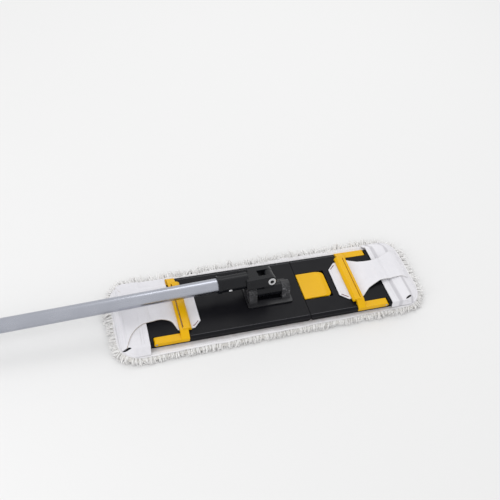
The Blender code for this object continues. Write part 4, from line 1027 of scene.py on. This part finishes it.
def pocket_grid(side, rows=64, columns=150):
    """Rows run from the mouth to the end; each is as wide as the foot's outline there."""
    share = np.linspace(0, 1, rows)
    x = MOUTH + (FOOT_X[side] - MOUTH) * (1 - (1 - share) ** 1.35)
    across = np.linspace(-1, 1, columns)
    across = across * (1.18 - 0.18 * np.abs(across) ** 3)
    across /= np.abs(across).max()
    y = half_width_at(x, FOOT_X[side], FOOT_Y, FOOT_CORNER)[:, None] * across[None, :]
    y = y + foot_shift(side * x)[:, None]
    x = np.broadcast_to(x[:, None], y.shape) + 0.5 * MM * np.sin(y * 70) * (1 - share[:, None])
    return np.stack([side * x, y, pocket_height(side * x, y, side)], -1)


CORNERS = {-1: ((-0.2572, -0.0592), (-0.2435, -0.0628), 1.4),
           1: ((0.2400, -0.0605), (0.2545, -0.0535), 1.7)}


def corner_tip(side, label):
    """The holder's corner showing in the pocket's slit: a lens between two points.

    Across it runs from -1 to 1 and is scaled by one minus the square of the place along it."""
    start, stop, half = (np.array(value) for value in CORNERS[side])
    along, across = np.linspace(-1, 1, 15)[:, None], np.linspace(-1, 1, 7)[None, :]
    direction = (stop - start) / np.linalg.norm(stop - start)
    reach = half * MM * across * (1 - along ** 2) ** 0.7
    x = (start[0] + stop[0]) / 2 + along * (stop[0] - start[0]) / 2 - direction[1] * reach
    y = (start[1] + stop[1]) / 2 + along * (stop[1] - start[1]) / 2 + direction[0] * reach
    z = pocket_height(x, y, side) + 0.35 * MM
    grid = np.stack([x, y, z], -1)
    return sheet_piece(f"corner_tip_{label}", grid, deck_plastic, 0.8 * MM)


def build_pocket(side, label, body):
    # The right pocket gets the cloth with painted shade in its seam furrows.
    cloth = cover_cloth if side < 0 else painted_seam_shade_cloth
    obj = sheet_piece(f"mop_pocket_{label}", pocket_grid(side), cloth, 1.3 * MM)
    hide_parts(f"pocket_{label}")
    y = np.linspace(-0.060, 0.060, 60)
    (first, first_width, _), (second, second_width, _) = BANDS[side]
    rows = []
    for seam in (MOUTH + 6.5 * MM, first + 1.3 * first_width * MM, second - 1.4 * second_width * MM,
                 second + 1.4 * second_width * MM):
        x = seam - 0.05 * y
        rows.append(np.column_stack([side * x, y, pocket_height(side * x, y, side)]))
    foot, _ = rounded_ring(FOOT_X[side] - 2.2 * MM, FOOT_Y - 2.2 * MM, FOOT_CORNER, 150, 40, 30)
    foot = foot[foot[:, 0] * side > MOUTH + 2 * MM]
    foot = foot[np.argsort(np.arctan2(foot[:, 1], np.abs(foot[:, 0]) - MOUTH))]
    foot[:, 1] += foot_shift(foot[:, 0])
    rows.append(np.column_stack([foot, pocket_height(foot[:, 0], foot[:, 1], side)]))
    stitches = stitched(f"pocket_stitches_{label}", rows, hem_thread, 0.22 * MM, lift=0.05 * MM)
    for piece in (obj, stitches, corner_tip(side, label)):
        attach(piece, body)
    return obj


pocket_left = build_pocket(-1, "left", "holder")
pocket_right = build_pocket(1, "right", "folding_wing")
print("pocket faces:", len(pocket_left.data.polygons), len(pocket_right.data.polygons))

# %% [markdown]
# ## Tabs
# From each pocket a tongue of cloth runs to the clamp, which holds it by its bar. Each edge is
# a list of stations (distance from the middle, place across) joined by straight steps and
# then smoothed, so corners come out as soft as cut cloth. It lies on the deck, stays level
# under the bar, and climbs over the pocket's hem to its root seam.

# %% Tabs
TAB_FRONT = {
    -1: [(0.1250, -0.0330), (0.1370, -0.0449), (0.1640, -0.0449), (0.1665, -0.0390), (0.1685, -0.0315),
         (0.1710, -0.0262), (0.1750, -0.0228), (0.1800, -0.0205), (0.1870, -0.0186), (0.1950, -0.0182),
         (0.2060, -0.0202), (0.2120, -0.0212), (0.2180, -0.0222), (0.2240, -0.0250), (0.2300, -0.0290),
         (0.2360, -0.0350), (0.2400, -0.0400), (0.2440, -0.0470), (0.2475, -0.0550), (0.2500, -0.0610)],
    1: [(0.1250, -0.0290), (0.1390, -0.0405), (0.1655, -0.0400), (0.1825, -0.0250), (0.2060, -0.0158),
        (0.2140, -0.0152), (0.2300, -0.0135), (0.2500, -0.0105), (0.2690, -0.0095)],
}
TAB_BACK = {
    -1: [(0.1250, 0.0330), (0.1370, 0.0449), (0.1658, 0.0449), (0.1690, 0.0360), (0.1760, 0.0300),
         (0.1900, 0.0260), (0.2070, 0.0270), (0.2140, 0.0300), (0.2290, 0.0340), (0.2440, 0.0480),
         (0.2500, 0.0600)],
    1: [(0.1250, 0.0270), (0.1390, 0.0410), (0.1655, 0.0430), (0.1825, 0.0330), (0.2060, 0.0290),
        (0.2140, 0.0300), (0.2300, 0.0360), (0.2500, 0.0460), (0.2690, 0.0540)],
}
TAB_START = 0.1250
TAB_ROOT = {side: TAB_FRONT[side][-1][0] for side in (-1, 1)}
TAB_RIDGE = {-1: 0.0, 1: 5.5 * MM}


def tab_edges(side, x):
    """Front and back edge at x, smoothed by averaging over three millimetres."""
    fine = np.linspace(x.min() - 3 * MM, x.max() + 3 * MM, 1200)
    kernel = np.ones(25) / 25
    edges = []
    for stations in (np.array(TAB_FRONT[side]), np.array(TAB_BACK[side])):
        coarse = np.interp(fine, stations[:, 0], stations[:, 1])
        smooth = np.convolve(np.pad(coarse, len(kernel) // 2, "edge"), kernel, "valid")
        edges.append(np.interp(x, fine, smooth))
    return edges


def tab_height(x, y, side):
    """On the deck, then over the pocket's hem, and along the pocket to the root seam.

    Before the mouth it is the deck's height with slow waves; past it, the pocket's own height
    plus the cloth's thickness. The right tab stands up in a ridge at its crease."""
    climb = smooth_step(x, MOUTH - 9 * MM, MOUTH - 1 * MM)
    over = pocket_height(side * np.maximum(x, MOUTH), y, side) + 1.5 * MM
    free = smooth_step(x, 0.168, 0.180) * (1 - smooth_step(x, 0.215, 0.240))
    end = 1 - smooth_step(x, TAB_END, 0.1405)
    waves = 0.5 * np.sin(x * 300 + y * 60 * side + 1.0) + 0.5 * np.cos(y * 150 + x * 40)
    ridge_x = 0.2062 + 0.03 * y
    ridge = np.interp(x - ridge_x, [-0.038, -0.002, 0.002, 0.046], [0, 1, 1, 0]) if side > 0 else 0
    crease = furrow(x - ridge_x, 1.2 * MM)
    low = TAB_TOP + 0.55 * MM * (waves + 1) * free + 0.7 * MM * end * (1 + 0.5 * np.sin(y * 90))
    return low * (1 - climb) + over * climb + TAB_RIDGE[side] * ridge + 0.4 * MM * crease


def build_tab(side, label, body):
    x = np.concatenate([np.linspace(TAB_START, 0.142, 16), np.linspace(0.143, 0.164, 10),
                        np.linspace(0.1646, 0.178, 20), np.linspace(0.179, TAB_ROOT[side], 70)])
    front, back = tab_edges(side, x)
    share = np.linspace(0, 1, 70)[None, :]
    y = front[:, None] * (1 - share) + back[:, None] * share
    wide = np.broadcast_to(x[:, None], y.shape)
    grid = np.stack([side * wide, y, tab_height(wide, y, side)], -1)
    obj = sheet_piece(f"mop_tab_{label}", grid, cover_cloth, 1.4 * MM)
    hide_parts(f"tab_{label}")
    extras = []
    for edge, name in ((front, "front"), (back, "back")):
        chosen = x > 0.1655
        path = np.column_stack([side * x, edge, tab_height(x, edge, side) - 0.5 * MM])[chosen]
        thread = edge_thread if side < 0 else hem_thread
        extras.append(piped(f"tab_edge_{label}_{name}", path, thread, 0.55 * MM))
    marks = []
    for direction in (-1, 1):
        share = np.linspace(0, 1, 12)
        mark_x = TAB_END + 2.6 * MM + share * 13.0 * MM
        reach = tab_edges(side, mark_x)[0 if direction < 0 else 1]
        mark_y = reach - direction * (3.2 * MM + 1.5 * MM * share)
        marks.append(np.column_stack([side * mark_x, mark_y, tab_height(mark_x, mark_y, side)]))
    extras.append(stitched(f"tab_marks_{label}", marks, mark_thread, 0.70 * MM,
                           pitch=2.6 * MM, length=2.5 * MM, lift=0.15 * MM))
    seam = TAB_ROOT[side] - 2.5 * MM
    front_end, back_end = tab_edges(side, np.array([seam - 3 * MM, seam]))
    y = np.linspace(front_end[0] + 2 * MM, back_end[0] - 2 * MM, 50)
    root = np.column_stack([np.full(50, side * seam), y, tab_height(np.full(50, seam), y, side)])
    hem_y = np.linspace(-0.026, 0.026, 30)
    hem_x = np.full(30, TAB_END + 4.5 * MM)
    hem = np.column_stack([side * hem_x, hem_y, tab_height(hem_x, hem_y, side)])
    extras.append(stitched(f"tab_stitches_{label}", [root, hem], hem_thread, 0.22 * MM, lift=0.05 * MM))
    for piece in (obj, *extras):
        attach(piece, body)
    return obj


tab_left = build_tab(-1, "left", "holder")
tab_right = build_tab(1, "right", "folding_wing")
print("tab faces:", len(tab_left.data.polygons), len(tab_right.data.polygons))

# %% [markdown]
# At the back of the left end the pocket's cloth also covers the clamp's arm, up to the bar. That
# flap is a sheet of its own.

# %% Flap over the left clamp's back arm


def build_flap():
    """A patch laid over the arm, and over the pocket behind it.

    Its height is the pocket's own plus a cloth's thickness, or the deck's where the pocket
    ends, raised where it laps over the tab, and it falls down the holder's side."""
    share_x, share_y = np.linspace(0, 1, 70)[:, None], np.linspace(0, 1, 40)[None, :]
    x = -0.2480 + share_x * (0.2480 - 0.1645 - 1.2 * MM * np.sin(share_y * 3))
    y = 0.0275 + share_y * (0.0415 + 0.6 * MM * np.sin(share_x * 9))
    x = np.broadcast_to(x, y.shape)
    behind = 1 - smooth_step(x, -0.2160, -0.2080)
    over_tab = 1 - smooth_step(y, 0.0455, 0.0500) * (1 - behind)
    down = smooth_step(y, 0.0610, 0.0690)
    waves = 0.5 + 0.5 * np.sin(x * 210 + y * 90)
    level = TAB_TOP + 0.4 * MM + 1.7 * MM * over_tab - 9.5 * MM * down ** 1.5
    pocket = (pocket_height(np.minimum(x, -MOUTH), y, -1) + 1.2 * MM
              + 0.9 * MM * (1 - smooth_step(y, 0.036, 0.05)))
    z = level * (1 - behind) + pocket * behind + 0.5 * MM * waves * (1 - down)
    obj = sheet_piece("mop_flap_left", np.stack([x, y, z], -1), cover_cloth, 1.2 * MM)
    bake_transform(obj)
    return obj


flap = build_flap()
print("flap faces:", len(flap.data.polygons))

# %% [markdown]
# ## Bead on the holder's margin
# A thin bead runs along the front and back of the deck where its margin starts to slope. It
# catches the light as one fine line. It stops at the clamps' notches and at the fold.

# %% Margin beads


def build_beads():
    inset, stop = 5 * MM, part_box("clamp_right")[0][0] + 4 * MM
    made = []
    for label, body, low, high in (("left", "holder", -stop, FOLD_X - 0.8 * MM),
                                   ("right", "folding_wing", FOLD_X + 0.8 * MM, stop)):
        x = np.linspace(low, high, 60)
        height = np.full(60, DECK_TOP - 0.1 * MM)
        lines = [np.column_stack([x, np.full(60, direction * (HALF_WIDTH - inset)), height])
                 for direction in (-1, 1)]
        piece = strand_piece(f"margin_bead_{label}", np.stack(lines), 0.60 * MM, 8, bead_plastic)
        made.append(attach(piece, body))
    return made


beads = build_beads()
print("beads:", [bead.name for bead in beads])
